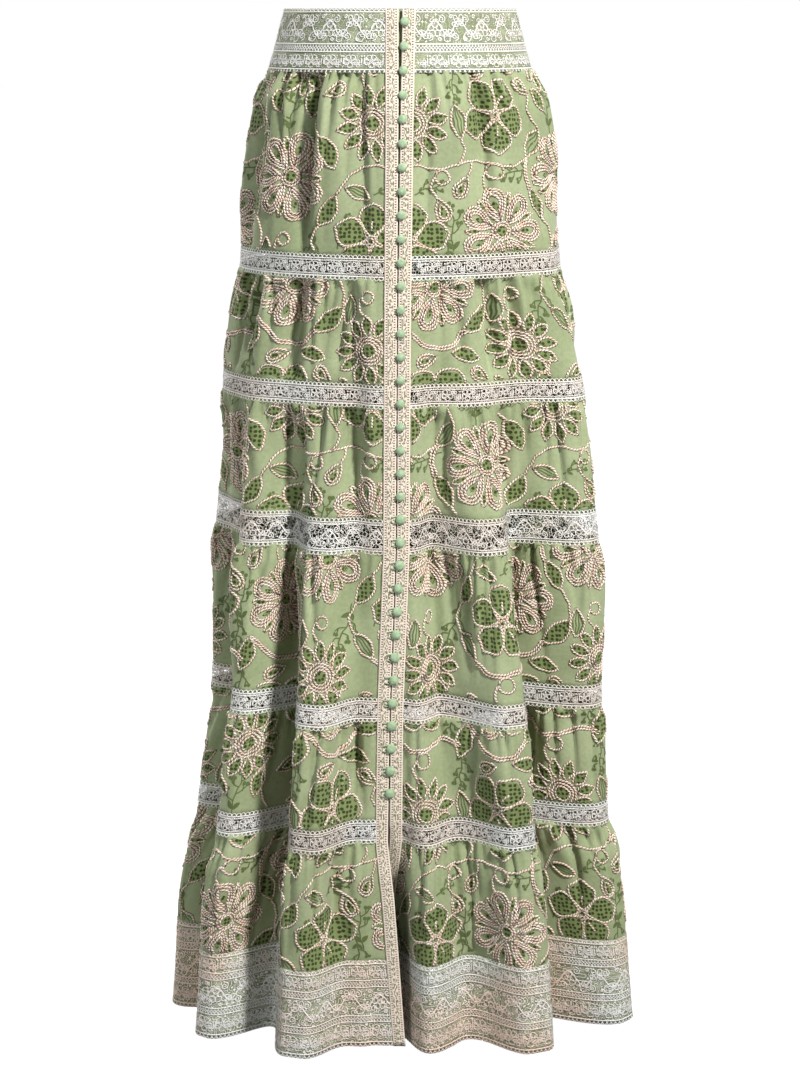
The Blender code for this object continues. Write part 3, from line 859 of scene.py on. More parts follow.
LEAF_EDGE = cord(almond(-0.5, 0.5, 0.48, 0.05, 13))
LOOPED = [teardrop(0.20 + 1.4 * inset, 1 - inset, 0.50 - 2 * inset) for inset in (0, 0.068, 0.136)]
FIVE_VEIN = cord(np.array([(0.30, 0.0), (0.45, 0.02), (0.60, -0.01)]), False)
DRAWN = {
    "daisy": [
        *ringed(12, 0, fill(almond(0.46, 0.96, 0.22)), cord(almond(0.42, 1, 0.30))),
        fill(circle(0.20)),
        *[cord(circle(share)) for share in (0.21, 0.30, 0.39)],
    ],
    "loops": [
        *ringed(7, 0, fill(almond(0.50, 0.72, 0.10)), *map(cord, LOOPED)),
        *ringed(7, 180 / 7, fill(almond(0.52, 0.90, 0.10)), cord(almond(0.50, 0.94, 0.13))),
        fill(circle(0.13)),
        cord(circle(0.15)),
        cord(circle(0.21)),
    ],
    "five": [
        *ringed(5, 0, fill(teardrop(0.16, 0.94, 0.74, 22, 0.08))),
        *ringed(5, 0, cord(teardrop(0.12, 1, 0.84, 22, 0.12))),
        *ringed(5, 0, FIVE_VEIN)[1::2],
        fill(circle(0.15)),
        cord(circle(0.17)),
        cord(circle(0.10, 10)),
    ],
    "leaf": [fill(almond(-0.47, 0.47, 0.42, 0.05, 11)), LEAF_EDGE],
    "veined": [LEAF_EDGE, *veins(4, 0.12)],
    "bud": [
        fill(teardrop(-0.36, 0.44, 0.46)),
        cord(teardrop(-0.5, 0.5, 0.62)),
        cord(teardrop(-0.22, 0.38, 0.34)),
    ],
    "curl": [
        cord(circle(1, 16)),
        cord(smooth_curve([(1, 0), (1.5, 0.8), (1.4, 1.9), (0.6, 2.9)], 5), False),
    ],
    "sprig": list(sprig()),
}

# What each kind of stroke is laid in: its layer, lift, width and height
LAID = {
    "fill": ("fills", FILL_LIFT, None, None),
    "dot": ("print", PRINT_LIFT, None, None),
    "cord": ("cords", 0.0, CORD_WIDTH, CORD_HEIGHT),
    "print": ("print", PRINT_LIFT, PRINT_WIDTH, 0),
}
SHORTEST_RUN = 3


def vine_strokes(cords, knots):
    """A vine of one cord or of two that touch."""
    curve = smooth_curve(knots)
    if cords == 1:
        return [cord(curve, False)]
    side = quarter_turn(unit(np.gradient(curve, axis=0))) * CORD_WIDTH * CORDS_APART
    return [cord(curve + side, False), cord(curve - side, False)]


def tile_strokes():
    """Every stroke of one repeat of the embroidery."""
    strokes = [stroke for vine in VINES for stroke in vine_strokes(*vine)]
    for motif in MOTIFS:
        for stroke in DRAWN[motif.kind]:
            moved = turned(stroke.points * motif.size, motif.turn, (motif.along, motif.drop))
            strokes.append(stroke._replace(points=moved))
    return [stroke._replace(points=stroke.points * TILE_SCALE) for stroke in strokes]


def clipped(outline, low, high):
    """Closed outline cut off at the edges of a window."""
    for axis in (0, 1):
        for limit, sign in ((low[axis], 1), (high[axis], -1)):
            kept = []
            for here, after in zip(outline, np.roll(outline, -1, 0)):
                inside = sign * (here[axis] - limit) >= 0
                inside_after = sign * (after[axis] - limit) >= 0
                if inside:
                    kept.append(here)
                if inside != inside_after:
                    share = (limit - here[axis]) / (after[axis] - here[axis])
                    kept.append(here + (after - here) * share)
            outline = np.array(kept)
            if len(outline) < 3:
                return None
    return outline


def inner_runs(path, closed, low, high):
    """Stretches of a path inside a window, as pairs of path and whether it is closed."""
    inside = np.all((path > low) & (path < high), axis=1)
    if inside.all():
        return [(path, closed)]
    if closed:
        first_out = int(np.argmin(inside))
        path = np.roll(path, -first_out, 0)
        inside = np.roll(inside, -first_out)
    ends = np.flatnonzero(np.diff(np.concatenate([[0], inside, [0]]))).reshape(-1, 2)
    return [(path[start:end], False) for start, end in ends if end - start >= SHORTEST_RUN]


def embroider(tier, number, panel, materials):
    """Cords, dotted fills and printed sprigs of one tier."""
    shift = np.array(TIER_SHIFTS[number - 1])
    low = np.array([STRIP_WIDTH, tier.top])
    high = np.array([panel.girth - STRIP_WIDTH, tier.bottom])
    layers = {name: Layer(panel) for name in ("cords", "fills", "print")}
    strokes = tile_strokes()
    repeats = range(-1, int(panel.girth / TILE_WIDTH) + 2)
    for across, downward, stroke in itertools.product(repeats, (-1, 0, 1), strokes):
        corner = np.array([across * TILE_WIDTH, tier.top + downward * TILE_HEIGHT])
        points = stroke.points + (corner - shift)
        if np.any(points.max(0) < low) or np.any(points.min(0) > high):
            continue
        name, lift, width, height = LAID[stroke.kind]
        if width is None:
            outline = clipped(points, low, high)
            if outline is not None:
                layers[name].patch(outline, lift)
            continue
        path = hand_laid(evenly(points, CORD_STEP, stroke.closed), stroke.closed)
        for run, closed in inner_runs(path, stroke.closed, low, high):
            layers[name].strands(run, width, height, lift, closed)
    return [
        layer.piece(tier.name + "_" + name, materials[name], "cotton")
        for name, layer in layers.items()
    ]


# Lace: each row of thread is laid at a drop, along the whole band
THREAD = 0.0010
LINE_STEP = 0.0055
SCALLOP_PITCH = 0.0046
LADDER_PITCH = 0.0034
LADDER_GAP = 0.0006
LADDER_DEPTH = 0.40
BLOSSOM_PITCH = 0.0200
HALF = BLOSSOM_PITCH / 2
SCROLL_PITCH = 0.0260
BAR_APART = 0.0012
BAR_DOT = 0.0006
BAR_DOT_UP = 0.0018
EDGE_LINE = 0.0040
INNER_LINE = 0.0064
EDGE_LOOP = 0.0036

# Blades of the spray in each bend of a scroll: direction, reach and width, as shares of its height
SPRAYS = (
    ((32, 0.36, 0.24), (84, 0.46, 0.24), (136, 0.32, 0.24)),
    ((18, 0.27, 0.25), (90, 0.27, 0.25), (162, 0.27, 0.25), (234, 0.27, 0.25), (306, 0.27, 0.25)),
    ((56, 0.50, 0.30), (118, 0.38, 0.20)),
    ((22, 0.30, 0.15), (66, 0.44, 0.17), (106, 0.44, 0.17), (150, 0.30, 0.15)),
)


def repeat(layer, path, pitch, drop, width=THREAD, closed=False, shift=0.0):
    """A path repeated along a band at one drop."""
    girth = layer.panel.girth
    count = int(girth / pitch)
    real = girth / count
    starts = np.arange(count - 1 if shift else count) * real + shift
    path = np.asarray(path, float) * np.array([real / pitch, 1.0])
    offsets = np.column_stack([starts, np.full(len(starts), drop)])
    layer.strands(offsets[:, None, :] + path[None], width, 0, THREAD_LIFT, closed)


def straight(layer, drop, width=THREAD):
    """A straight thread along a band."""
    along = np.linspace(0, layer.panel.girth, int(layer.panel.girth / LINE_STEP))
    layer.strands(np.column_stack([along, np.full(len(along), drop)]), width, 0, THREAD_LIFT, False)


def scallops(layer, drop, depth, pitch=SCALLOP_PITCH, width=THREAD):
    """Small loops that hang from a drop, or stand on it where depth is below zero."""
    angle = np.linspace(0, np.pi, 5)
    path = np.column_stack([pitch / 2 - pitch / 2 * np.cos(angle), depth * np.sin(angle)])
    repeat(layer, path, pitch, drop, width)


def blossoms(layer, drop, radius, pitch=BLOSSOM_PITCH, shift=0.0, petals=5, width=THREAD):
    """Flowers of looped petals round a small eye."""
    for k in range(petals):
        petal = turned(teardrop(0.22 * radius, radius, 0.86 * radius, 8), 360 / petals * k + 90)
        repeat(layer, petal, pitch, drop, width, True, shift)
    repeat(layer, circle(0.16 * radius, 5), pitch, drop, width, True, shift)


def bars(layer, drop, height, pitch=BLOSSOM_PITCH, shift=0.0):
    """Pairs of short upright bars with a dot above each."""
    for across in (-BAR_APART, BAR_APART):
        upright = [(across, -height / 2), (across, 0), (across, height / 2)]
        repeat(layer, upright, pitch, drop, THREAD * 1.2, False, shift)
        dotted = circle(BAR_DOT, 4) + np.array([across, -height / 2 - BAR_DOT_UP])
        repeat(layer, dotted, pitch, drop, THREAD, True, shift)


def spiral(radius, turns, start):
    """Curl that winds inward from a starting direction in degrees."""
    share = np.linspace(0, 1, round(8 * abs(turns)) + 1)
    angle = np.radians(start) + 2 * np.pi * turns * share
    return (radius * (1 - 0.82 * share))[:, None] * on_circle(angle)


def scrolls(layer, drop, height, pitch=SCROLL_PITCH, width=THREAD):
    """A waved stem with a spray in each bend, each unlike the next, and curls of two sizes."""
    whole = pitch * len(SPRAYS) / 2
    across = np.linspace(0, whole, 21)
    wave = height * 0.26 * np.sin(2 * np.pi * across / pitch)
    repeat(layer, np.column_stack([across, wave]), whole, drop, width * 1.3)
    for bend, spray in enumerate(SPRAYS):
        side = 1 if bend % 2 else -1
        at = (bend / 2 + 0.25) * pitch
        root = np.array([at, -side * height * (0.04 if len(spray) < 5 else -0.05)])
        for spin, reach, broad in spray:
            blade = teardrop(height * 0.05, height * reach, height * broad, 8)
            repeat(layer, turned(blade, -side * spin, root), whole, drop, width, True)
        middle = np.array([at + 0.22 * pitch, side * height * 0.30])
        repeat(layer, spiral(height * 0.15, 1.5 * side, 90 * side) + middle, whole, drop, width)
        small = np.array([at - 0.17 * pitch, side * height * 0.38])
        repeat(layer, spiral(height * 0.08, -1.2 * side, 200) + small, whole, drop, width)
        far = np.array([at + 0.02 * pitch, -side * height * 0.30])
        for spin in (20, 75, 150):
            blade = almond(height * 0.02, height * 0.19, height * 0.10, 0, 4)
            repeat(layer, turned(blade, side * spin, far), whole, drop, width * 0.9, True)


def leafy(layer, drop, height, pitch=BLOSSOM_PITCH, shift=0.0, width=THREAD):
    """Pairs of leaves that lean away from each other."""
    for spin in (24, 156, 204, 336):
        blade = almond(height * 0.5, height * 1.15, height * 0.34, 0, 4)
        repeat(layer, turned(blade, spin), pitch, drop, width, True, shift)


def edge_loops(layer, top, bottom, inset):
    """Open loops that stand out along both edges of a band."""
    scallops(layer, top + inset, -EDGE_LOOP)
    scallops(layer, bottom - inset, EDGE_LOOP)


def narrow_lace(layer, top, bottom):
    """Insertion lace with open loops along both edges, flowers and bars between."""
    middle = (top + bottom) / 2
    fine = THREAD * 0.85
    edge_loops(layer, top, bottom, 0.0038)
    for inset, width in ((EDGE_LINE, THREAD * 1.3), (INNER_LINE, THREAD * 0.8)):
        straight(layer, top + inset, width)
        straight(layer, bottom - inset, width)
    blossoms(layer, middle - 0.0002, 0.0056, shift=HALF * 0.62, width=fine)
    blossoms(layer, middle + 0.0026, 0.0030, shift=HALF * 1.62, petals=4, width=fine)
    blossoms(layer, middle - 0.0030, 0.0028, shift=HALF * 1.98, petals=4, width=fine)
    bars(layer, middle + 0.0006, 0.0050, shift=HALF * 1.24)


def wide_lace(layer, top, bottom):
    """Wide insertion lace: loops and lines along both edges, scrolls between."""
    edge_loops(layer, top, bottom, EDGE_LOOP)
    for drop in (top + EDGE_LINE, top + INNER_LINE, bottom - INNER_LINE, bottom - EDGE_LINE):
        straight(layer, drop)
    scrolls(layer, (top + bottom) / 2, bottom - top - 0.0120, width=THREAD * 0.9)


def ladder(layer, top, bottom):
    """Two lines with facing rows of tiny loops."""
    depth = (bottom - top) * LADDER_DEPTH
    straight(layer, top, THREAD * 1.3)
    straight(layer, bottom, THREAD * 1.3)
    scallops(layer, top + LADDER_GAP, depth, LADDER_PITCH, THREAD * 0.9)
    scallops(layer, bottom - LADDER_GAP, -depth, LADDER_PITCH, THREAD * 0.9)


def flower_row(layer, top, bottom, width=THREAD):
    """Flowers with bars and leaves between them."""
    middle = (top + bottom) / 2
    height = bottom - top
    blossoms(layer, middle, height * 0.44, shift=HALF * 0.6, width=width)
    leafy(layer, middle, height * 0.42, shift=HALF * 0.6, width=width)
    bars(layer, middle, height * 0.42, shift=HALF * 1.42)
    blossoms(layer, middle + height * 0.16, height * 0.24, shift=HALF * 1.86, petals=4, width=width)


# Rows of the waistband's and the hem's lace from the top down, each with its drops and widths
LACE_ROWS = {
    "waistband": (
        (scallops, 0.0010, -0.0024, 0.0050),
        (straight, 0.0014, THREAD * 1.3),
        (scrolls, 0.0168, 0.0280),
        (ladder, 0.0325, 0.0400),
        (flower_row, 0.0418, 0.0562, THREAD * 0.85),
        (straight, 0.0572, THREAD * 1.2),
        (scallops, 0.0576, 0.0036),
    ),
    "hem_border": (
        (scallops, 0.9686, -0.0034),
        (straight, 0.9690, THREAD * 1.5),
        (flower_row, 0.9700, 0.9860),
        (ladder, 0.9870, 0.9945),
        (scrolls, 1.0102, 0.0290, 0.0310, THREAD * 1.2),
        (ladder, 1.0260, 1.0330),
        (flower_row, 1.0345, 1.0535),
        (straight, 1.0555, THREAD * 1.5),
        (scallops, 1.0562, 0.0034, 0.0046),
    ),
}

# Shine of every surface, weave of the cotton, and rows of open bars in the front strips
MATT_SPECULAR = 0.25
SHEEN_ROUGHNESS = 0.45
WEAVE_PITCH = 0.0011
BAR_ROW = 0.0024
BAR_PITCH = 0.0026


class Shader:
    """A material's nodes, made one by one."""

    def __init__(self, name, roughness, sheen=0.0):
        self.material = bpy.data.materials.new(name)
        self.material.use_nodes = True
        self.tree = self.material.node_tree
        self.surface = self.tree.nodes["Principled BSDF"]
        self.set("Roughness", roughness)
        self.set("Specular IOR Level", MATT_SPECULAR)
        self.set("Sheen Weight", sheen)
        self.set("Sheen Roughness", SHEEN_ROUGHNESS)

    def put(self, socket, value):
        """Sets a socket to a value or links it to an output."""
        if isinstance(value, bpy.types.NodeSocket):
            self.tree.links.new(value, socket)
        else:
            socket.default_value = value

    def set(self, name, value):
        """Sets one of the surface's own sockets."""
        self.put(self.surface.inputs[name], value)

    def node(self, kind, *inputs, named=None, **settings):
        """New node with its settings, its first inputs and its named inputs given."""
        made = self.tree.nodes.new("ShaderNode" + kind)
        for name, value in settings.items():
            setattr(made, name, value)
        for socket, value in zip(made.inputs, inputs):
            self.put(socket, value)
        for name, value in (named or {}).items():
            self.put(made.inputs[name], value)
        return made

    def math(self, operation, *inputs):
        return self.node("Math", *inputs, operation=operation).outputs[0]

    def times(self, first, second):
        return self.math("MULTIPLY", first, second)

    def from_half(self, value):
        """How far a value lies from one half."""
        return self.math("ABSOLUTE", self.math("SUBTRACT", value, 0.5))

    def field(self, name, output="Fac"):
        """One of the mesh's own fields."""
        return self.node("Attribute", attribute_name=name).outputs[output]

    def cut(self):
        """Place on the cloth, in metres."""
        return self.field("cut", "Vector")

    def noise(self, vector, scale, detail=2.0):
        return self.node("TexNoise", vector, named={"Scale": scale, "Detail": detail}).outputs[0]

    def step(self, value, low, high):
        """Share from 0 to 1 as a value goes from low to high."""
        inputs = (value, low, high, 0.0, 1.0)
        return self.node("MapRange", *inputs, interpolation_type="SMOOTHSTEP").outputs[0]

    def clouds(self, vector, scale, detail, low, high):
        """Noise drawn apart between two levels."""
        return self.step(self.noise(vector, scale, detail), low, high)

    def mix(self, share, first, second):
        made = self.node("Mix", share, data_type="RGBA")
        self.put(made.inputs[6], first)
        self.put(made.inputs[7], second)
        return made.outputs[2]

    def split(self, vector):
        return self.node("SeparateXYZ", vector).outputs[:2]

    def bump(self, height, distance, strength=1.0):
        named = {"Strength": strength, "Distance": distance, "Height": height}
        self.set("Normal", self.node("Bump", named=named).outputs[0])


def weave(shader, cut):
    """Fine weave with slubs, from 0 to 1."""
    turns = 2 * math.pi / WEAVE_PITCH
    waves = [shader.math("SINE", shader.times(way, turns)) for way in shader.split(cut)]
    return shader.math("MULTIPLY_ADD", shader.times(*waves), 0.25, shader.noise(cut, 420, 4.0))


def cotton_colour(shader, cut):
    """Sage green, lighter and deeper in soft clouds and slubs."""
    cloud = shader.times(shader.clouds(cut, 14, 3.0, 0.35, 0.65), 0.55)
    share = shader.math("MULTIPLY_ADD", shader.clouds(cut, 260, 2.0, 0.30, 0.70), 0.30, cloud)
    return shader.mix(share, COTTON_LIGHT, COTTON_DEEP)


def make_cotton():
    shader = Shader("sage_cotton", 0.82, 0.20)
    cut = shader.cut()
    shader.set("Base Color", cotton_colour(shader, cut))
    shader.bump(weave(shader, cut), 0.00035, 0.6)
    return shader.material


def make_cord():
    """Two plies twisted together, with painted shade in the groove between them and painted shadow
    along both sides.
    """
    shader = Shader("twisted_cord", 0.75, 0.15)
    across = shader.field("around")
    slant = shader.times(across, 0.80)
    turns = shader.math("MULTIPLY_ADD", shader.field("along"), 1 / CORD_TWIST, slant)
    ply = shader.math("SINE", shader.times(shader.math("FRACT", turns), math.pi))
    plied = shader.mix(shader.clouds(shader.cut(), 90, 2.0, 0.35, 0.65), CORD_PEACH, CORD_PALE)
    # Painted shadow darkens both sides of the cord, and painted shade the grooves between its plies
    clear_of_side_shadow = shader.step(shader.from_half(across), 0.50, 0.38)
    lit = shader.times(shader.step(ply, 0.14, 0.44), clear_of_side_shadow)
    shader.set("Base Color", shader.mix(lit, CORD_PAINTED_SHADE, plied))
    shader.bump(ply, 0.0009, 0.9)
    return shader.material


def make_fill():
    """Close dark stitched dots on green."""
    shader = Shader("stitched_fill", 0.80, 0.10)
    named = {"Scale": 1 / FILL_PITCH, "Randomness": 0.45}
    made = shader.node("TexVoronoi", shader.cut(), named=named, voronoi_dimensions="2D")
    stitched = shader.step(made.outputs["Distance"], 0.40, 0.26)
    shader.set("Base Color", shader.mix(stitched, FILL_GREEN, FILL_DOT))
    shader.bump(stitched, 0.0007, 0.8)
    return shader.material


def make_print():
    shader = Shader("olive_print", 0.85, 0.10)
    cut = shader.cut()
    faded = shader.times(shader.noise(cut, 300), 0.35)
    shader.set("Base Color", shader.mix(faded, PRINT_OLIVE, COTTON_DEEP))
    shader.bump(weave(shader, cut), 0.0003, 0.5)
    return shader.material


def thread_colour(shader, cut, deep=THREAD_PEACH):
    """Off-white, going to a deeper colour in clouds."""
    return shader.mix(shader.clouds(cut, 7, 3.0, 0.38, 0.62), THREAD_WHITE, deep)


def make_thread(name, deep):
    shader = Shader(name, 0.75, 0.20)
    cut = shader.cut()
    shader.set("Base Color", thread_colour(shader, cut, deep))
    ply = shader.math("SINE", shader.times(shader.field("around"), math.pi))
    shader.bump(shader.math("MULTIPLY_ADD", shader.noise(cut, 700), 0.5, ply), 0.0005, 0.8)
    return shader.material


def lace_cells(shader, cut, size, thick):
    """Share of the threads of a fine uneven net at a place."""
    settings = {"feature": "DISTANCE_TO_EDGE", "voronoi_dimensions": "2D"}
    made = shader.node("TexVoronoi", cut, named={"Scale": 1 / size}, **settings)
    return shader.step(made.outputs[0], thick, thick * 0.4)


def scrollwork(shader, cut, size, rings, thick):
    """Share of curled threads at a place: contours of a soft noise."""
    height = shader.times(shader.noise(cut, 1 / size, 0.0), rings)
    return shader.step(shader.from_half(shader.math("FRACT", height)), thick, thick * 0.55)


def make_net():
    """Open net of the insertion laces: clear between its threads and in its edge loops."""
    shader = Shader("lace_net", 0.80, 0.10)
    cut = shader.cut()
    edge = shader.math("MINIMUM", shader.field("from_top"), shader.field("from_bottom"))
    border = shader.times(shader.step(edge, 0.0034, 0.0038), shader.step(edge, 0.0070, 0.0064))
    curls = scrollwork(shader, cut, 0.0064, 4.0, 0.065)
    cells = shader.math("MAXIMUM", lace_cells(shader, cut, 0.0040, 0.04), curls)
    middle = shader.times(cells, shader.step(edge, 0.0060, 0.0064))
    dense = shader.times(lace_cells(shader, cut, 0.0017, 0.22), border)
    threads = shader.math("MAXIMUM", middle, dense)
    shader.set("Base Color", shader.mix(0.12, thread_colour(shader, cut), NET_GREY))
    shader.set("Alpha", threads)
    shader.bump(threads, 0.0003, 0.5)
    return shader.material


def make_backed(name, shade_share, net, thick, deep):
    """Fine lace that lies close on the sage cotton behind it, with painted shade under the lace in soft
    patches.
    """
    shader = Shader(name, 0.82, 0.15)
    cut = shader.cut()
    cells = shader.times(lace_cells(shader, cut, 0.0026, 0.10), net)
    threads = shader.math("MAXIMUM", cells, scrollwork(shader, cut, 0.0072, 7.0, thick))
    # Painted shade: soft patches of the ground go to a deep green, as if shaded under the lace
    patches = shader.times(shader.clouds(cut, 60, 2.0, 0.30, 0.55), shade_share)
    ground = shader.mix(patches, cotton_colour(shader, cut), UNDER_LACE_SHADE)
    shader.set("Base Color", shader.mix(threads, ground, thread_colour(shader, cut, deep)))
    shader.bump(threads, 0.0007, 0.9)
    return shader.material


def make_strip():
    """Lace strip: mottled middle between two rows of short open bars with painted shade in them, with
    plain edges.
    """
    shader = Shader("strip_lace", 0.80, 0.15)
    across, down = shader.split(shader.cut())
    drawn_out = shader.node("CombineXYZ", shader.times(across, 1.6), shader.times(down, 0.7))
    mottle = shader.clouds(drawn_out.outputs[0], 480, 1.0, 0.47, 0.55)
    ground = shader.mix(mottle, STRIP_PEACH, STRIP_GREEN)
    from_edge = shader.math("MINIMUM", across, shader.math("SUBTRACT", STRIP_WIDTH, across))
    near = shader.math("ABSOLUTE", shader.math("SUBTRACT", from_edge, BAR_ROW))
    rung = shader.from_half(shader.math("FRACT", shader.math("DIVIDE", down, BAR_PITCH)))
    hole = shader.times(shader.step(near, 0.0010, 0.0006), shader.step(rung, 0.24, 0.14))
    plain = shader.step(near, 0.0009, 0.0014)
    middle = shader.math("SUBTRACT", 1.0, shader.step(from_edge, 0.0040, 0.0034))
    base = shader.mix(middle, STRIP_PEACH, ground)
    # Painted shade fills the open bars, darker than the strip round them
    shader.set("Base Color", shader.mix(hole, base, STRIP_HOLE_SHADE))
    height = shader.math("SUBTRACT", shader.math("MULTIPLY_ADD", mottle, -0.4, plain), hole)
    shader.bump(height, 0.0005, 0.8)
    return shader.material


def make_button_cloth():
    shader = Shader("button_cloth", 0.70, 0.20)
    shade = shader.noise(shader.node("TexCoord").outputs["Object"], 320, 3.0)
    shader.set("Base Color", shader.mix(shader.step(shade, 0.3, 0.7), BUTTON_MINT, LOOP_GREEN))
    shader.bump(shade, 0.0003, 0.5)
    return shader.material


# The front strips and the underlap
LAY_GAP = 0.0004
STRIP_COLUMNS = 7
RIPPLE = 0.0003
RIPPLE_LENGTH = 0.031
UNDERLAP_DIP = 0.06
CROSSED_OVER = 0.05


def ribbon(node, kind, drops, across, face_at, wall, material):
    """Free thin strip; face_at gives its face's points and outward directions at a level."""
    outer, inner, cut = [], [], []
    for drop in drops:
        place, outward = face_at(Level(drop))
        outer.append(with_last(place, -drop))
        inner.append(with_last(place - outward * wall, -drop))
        cut.append(with_last(across, drop))
    outer = np.array(outer)
    made = shell(node + kind, outer, np.array(inner), {"cut": np.vstack(cut)}, material)
    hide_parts(node)


def make_strips(material):
    """Lace strips along both front edges, on the solids' own form."""
    across = np.linspace(0, STRIP_WIDTH, STRIP_COLUMNS)
    drops = np.append(np.arange(-TOP_EDGE, LENGTH, ROW_WIDE), LENGTH)
    for side in ("left", "right"):

        def face_at(level):
            distance = across if side == "left" else level.girth - across[::-1]
            place, outward = level.read(distance)
            ripple = RIPPLE * math.sin(2 * math.pi * level.drop / RIPPLE_LENGTH)
            return place + outward * (LAY_GAP + STRIP_WALL + ripple), outward

        ribbon("placket_" + side, "_lace", drops, across, face_at, STRIP_WALL, material)


def underlap_face(level):
    """From the right strip's inner edge, past the opening, to behind the left strip."""
    place, outward = level.read(np.array([level.girth - STRIP_WIDTH, level.girth]))
    onward = -quarter_turn(outward[1]) * UNDERLAP_REACH
    reach = place[1] + onward - outward[1] * UNDERLAP_REACH * UNDERLAP_DIP
    under, under_outward = level.read(np.array([UNDERLAP_REACH]))
    crossed = ease((level.drop - TUCK_FROM) / CROSSED_OVER)
    place = np.vstack([place, under[0] * (1 - crossed) + reach * crossed])
    outward = np.vstack([outward, under_outward[0] * (1 - crossed) + outward[1] * crossed])
    return place - outward * (CLOTH_WALL + UNDERLAP_GAP), outward


def make_underlap(material):
    """Cotton strip behind the front opening."""
    hem = LENGTH - UNDERLAP_HEM
    drops = np.append(np.arange(0.0, hem, ROW_WIDE), hem)
    across = np.array([0, STRIP_WIDTH, STRIP_WIDTH + UNDERLAP_REACH])
    ribbon("underlap", "_cloth", drops, across, underlap_face, UNDERLAP_WALL, material)


# Covered buttons: heights of the dome's rings and their radii as shares of the button's, and the
# cord loops that hold the lower ones
DOME = (
    (0.0000, 0.80), (0.0005, 0.92), (0.0012, 1.00), (0.0020, 0.97),
    (0.0028, 0.82), (0.0034, 0.58), (0.0037, 0.30),
)
DOME_SIDES = 16
LOOPS_FROM = 22
LOOP_RADIUS = 0.0047
LOOP_GAUGE = 0.0007
LOOP_SIDES = 5
LOOP_POINTS = 12
LOOP_OPEN_AT = 130
LOOP_LEG = -0.0085
LOOP_LEG_RISE = 0.0002
LOOP_NARROWS = 0.7


def button_frames():
    """Frames of the solid buttons: the middle of the base, turned square to the strip."""
    frames = []
    for name in sorted(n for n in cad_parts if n.startswith("button_")):
        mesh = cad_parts[name].data
        corners = np.unique(np.round([v.co for v in mesh.vertices], 6), axis=0)
        middle = corners.mean(0)
        crown = corners[np.argmin(np.linalg.norm(corners - middle, axis=1))]
        normal = Vector(crown - middle).normalized()
        sideways = Vector((0, 0, 1)).cross(normal).normalized()
        upward = normal.cross(sideways)
        turn = Matrix((sideways, upward, normal)).transposed()
        frames.append((name, Vector(crown) - normal * BUTTON_HEIGHT, turn))
    return frames


def at_buttons(name, local, faces, buttons, material):
    """Copies of one form at some of the buttons, as one piece."""
    points = [local @ np.array(turn).T + np.array(base) for _, base, turn in buttons]
    copies = [face + k * len(local) for face in faces for k in range(len(buttons))]
    return new_piece(name, np.vstack(points), copies, material, {})


def make_buttons(material):
    """Cloth-covered domes in the places of the solid ones."""
    rings = [with_last(circle(BUTTON_RADIUS * share, DOME_SIDES), height) for height, share in DOME]
    local = np.vstack([*rings, [[0, 0, BUTTON_HEIGHT]], [[0, 0, 0]]])
    at = np.arange(len(DOME) * DOME_SIDES).reshape(len(DOME), DOME_SIDES)
    after = np.roll(at, -1, 1)
    crown = len(local) - 2
    faces = [
        np.stack([at[:-1], after[:-1], after[1:], at[1:]], -1).reshape(-1, 4),
        with_last(np.column_stack([at[-1], after[-1]]), crown),
        with_last(np.column_stack([after[0], at[0]]), crown + 1),
    ]
    buttons = button_frames()
    piece = at_buttons("buttons_covered", local, faces, buttons, material)
    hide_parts(*[name for name, base, turn in buttons])


def make_button_loops(material):
    """Cord loops round the lower buttons, from the left edge."""
    spin = np.radians(np.linspace(-LOOP_OPEN_AT, LOOP_OPEN_AT, LOOP_POINTS))
    path = with_last(LOOP_RADIUS * on_circle(spin), LOOP_GAUGE)
    legs = [[[LOOP_LEG, path[end, 1] * LOOP_NARROWS, LOOP_LEG_RISE]] for end in (0, -1)]
    path = np.vstack([legs[0], path, legs[1]])
    tangent = unit(np.gradient(path, axis=0))
    side = unit(np.cross(tangent, [0, 0, 1.0]))
    upward = np.cross(side, tangent)
    rings = []
    for across, up in on_circle(np.linspace(0, 2 * np.pi, LOOP_SIDES, endpoint=False)):
        rings.append(path + LOOP_GAUGE * (side * across + upward * up))
    at = np.arange(LOOP_SIDES * len(path)).reshape(LOOP_SIDES, len(path))
    after = np.roll(at, -1, 0)
    faces = np.stack([at[:, :-1], at[:, 1:], after[:, 1:], after[:, :-1]], -1).reshape(-1, 4)
    lower = button_frames()[LOOPS_FROM - 1 :]
    at_buttons("button_loops", np.vstack(rings), [faces], lower, material)


# Camera, lights and surroundings
CAMERA_AWAY = 2.307
CAMERA_PITCH = 13.5
LENS = 73.49
SENSOR = 36.0
FLOOR_DROP = 1.10
FLOOR_HALF = 30.0
FLOOR_GREY = linear(120, 120, 120)
FLOOR_GLOW = 1.0
WHITE = (1.0, 1.0, 1.0, 1.0)
WORLD_STRENGTH = 0.10
AIM = (0.0, 0.0, -0.5)
LIGHTS = table(
    "name place size power colour",
    ("key", (1.45, -1.85, 1.7), 0.4, 139.0, (1.0, 0.99, 0.96)),
    ("fill", (-2.4, -1.9, -0.3), 1.6, 23.0, (0.92, 0.97, 1.0)),
    ("rear_left", (-2.4, 1.9, 1.3), 1.0, 85.0, (1.0, 0.99, 0.97)),
    ("rear_right", (1.5, 2.7, 1.2), 1.0, 60.0, (0.97, 0.98, 1.0)),
)


def make_floor():
    mesh = bpy.data.meshes.new("floor")
    around_it = ((-1, -1), (1, -1), (1, 1), (-1, 1))
    corners = [(x * FLOOR_HALF, y * FLOOR_HALF, -FLOOR_DROP) for x, y in around_it]
    mesh.from_pydata(corners, [], [(0, 1, 2, 3)])
    paint = Shader("floor_paint", 0.9)
    paint.set("Base Color", FLOOR_GREY)
    paint.set("Emission Color", WHITE)
    seen = paint.node("LightPath").outputs["Is Camera Ray"]
    paint.set("Emission Strength", paint.times(seen, FLOOR_GLOW))
    mesh.materials.append(paint.material)
    add("floor", mesh)


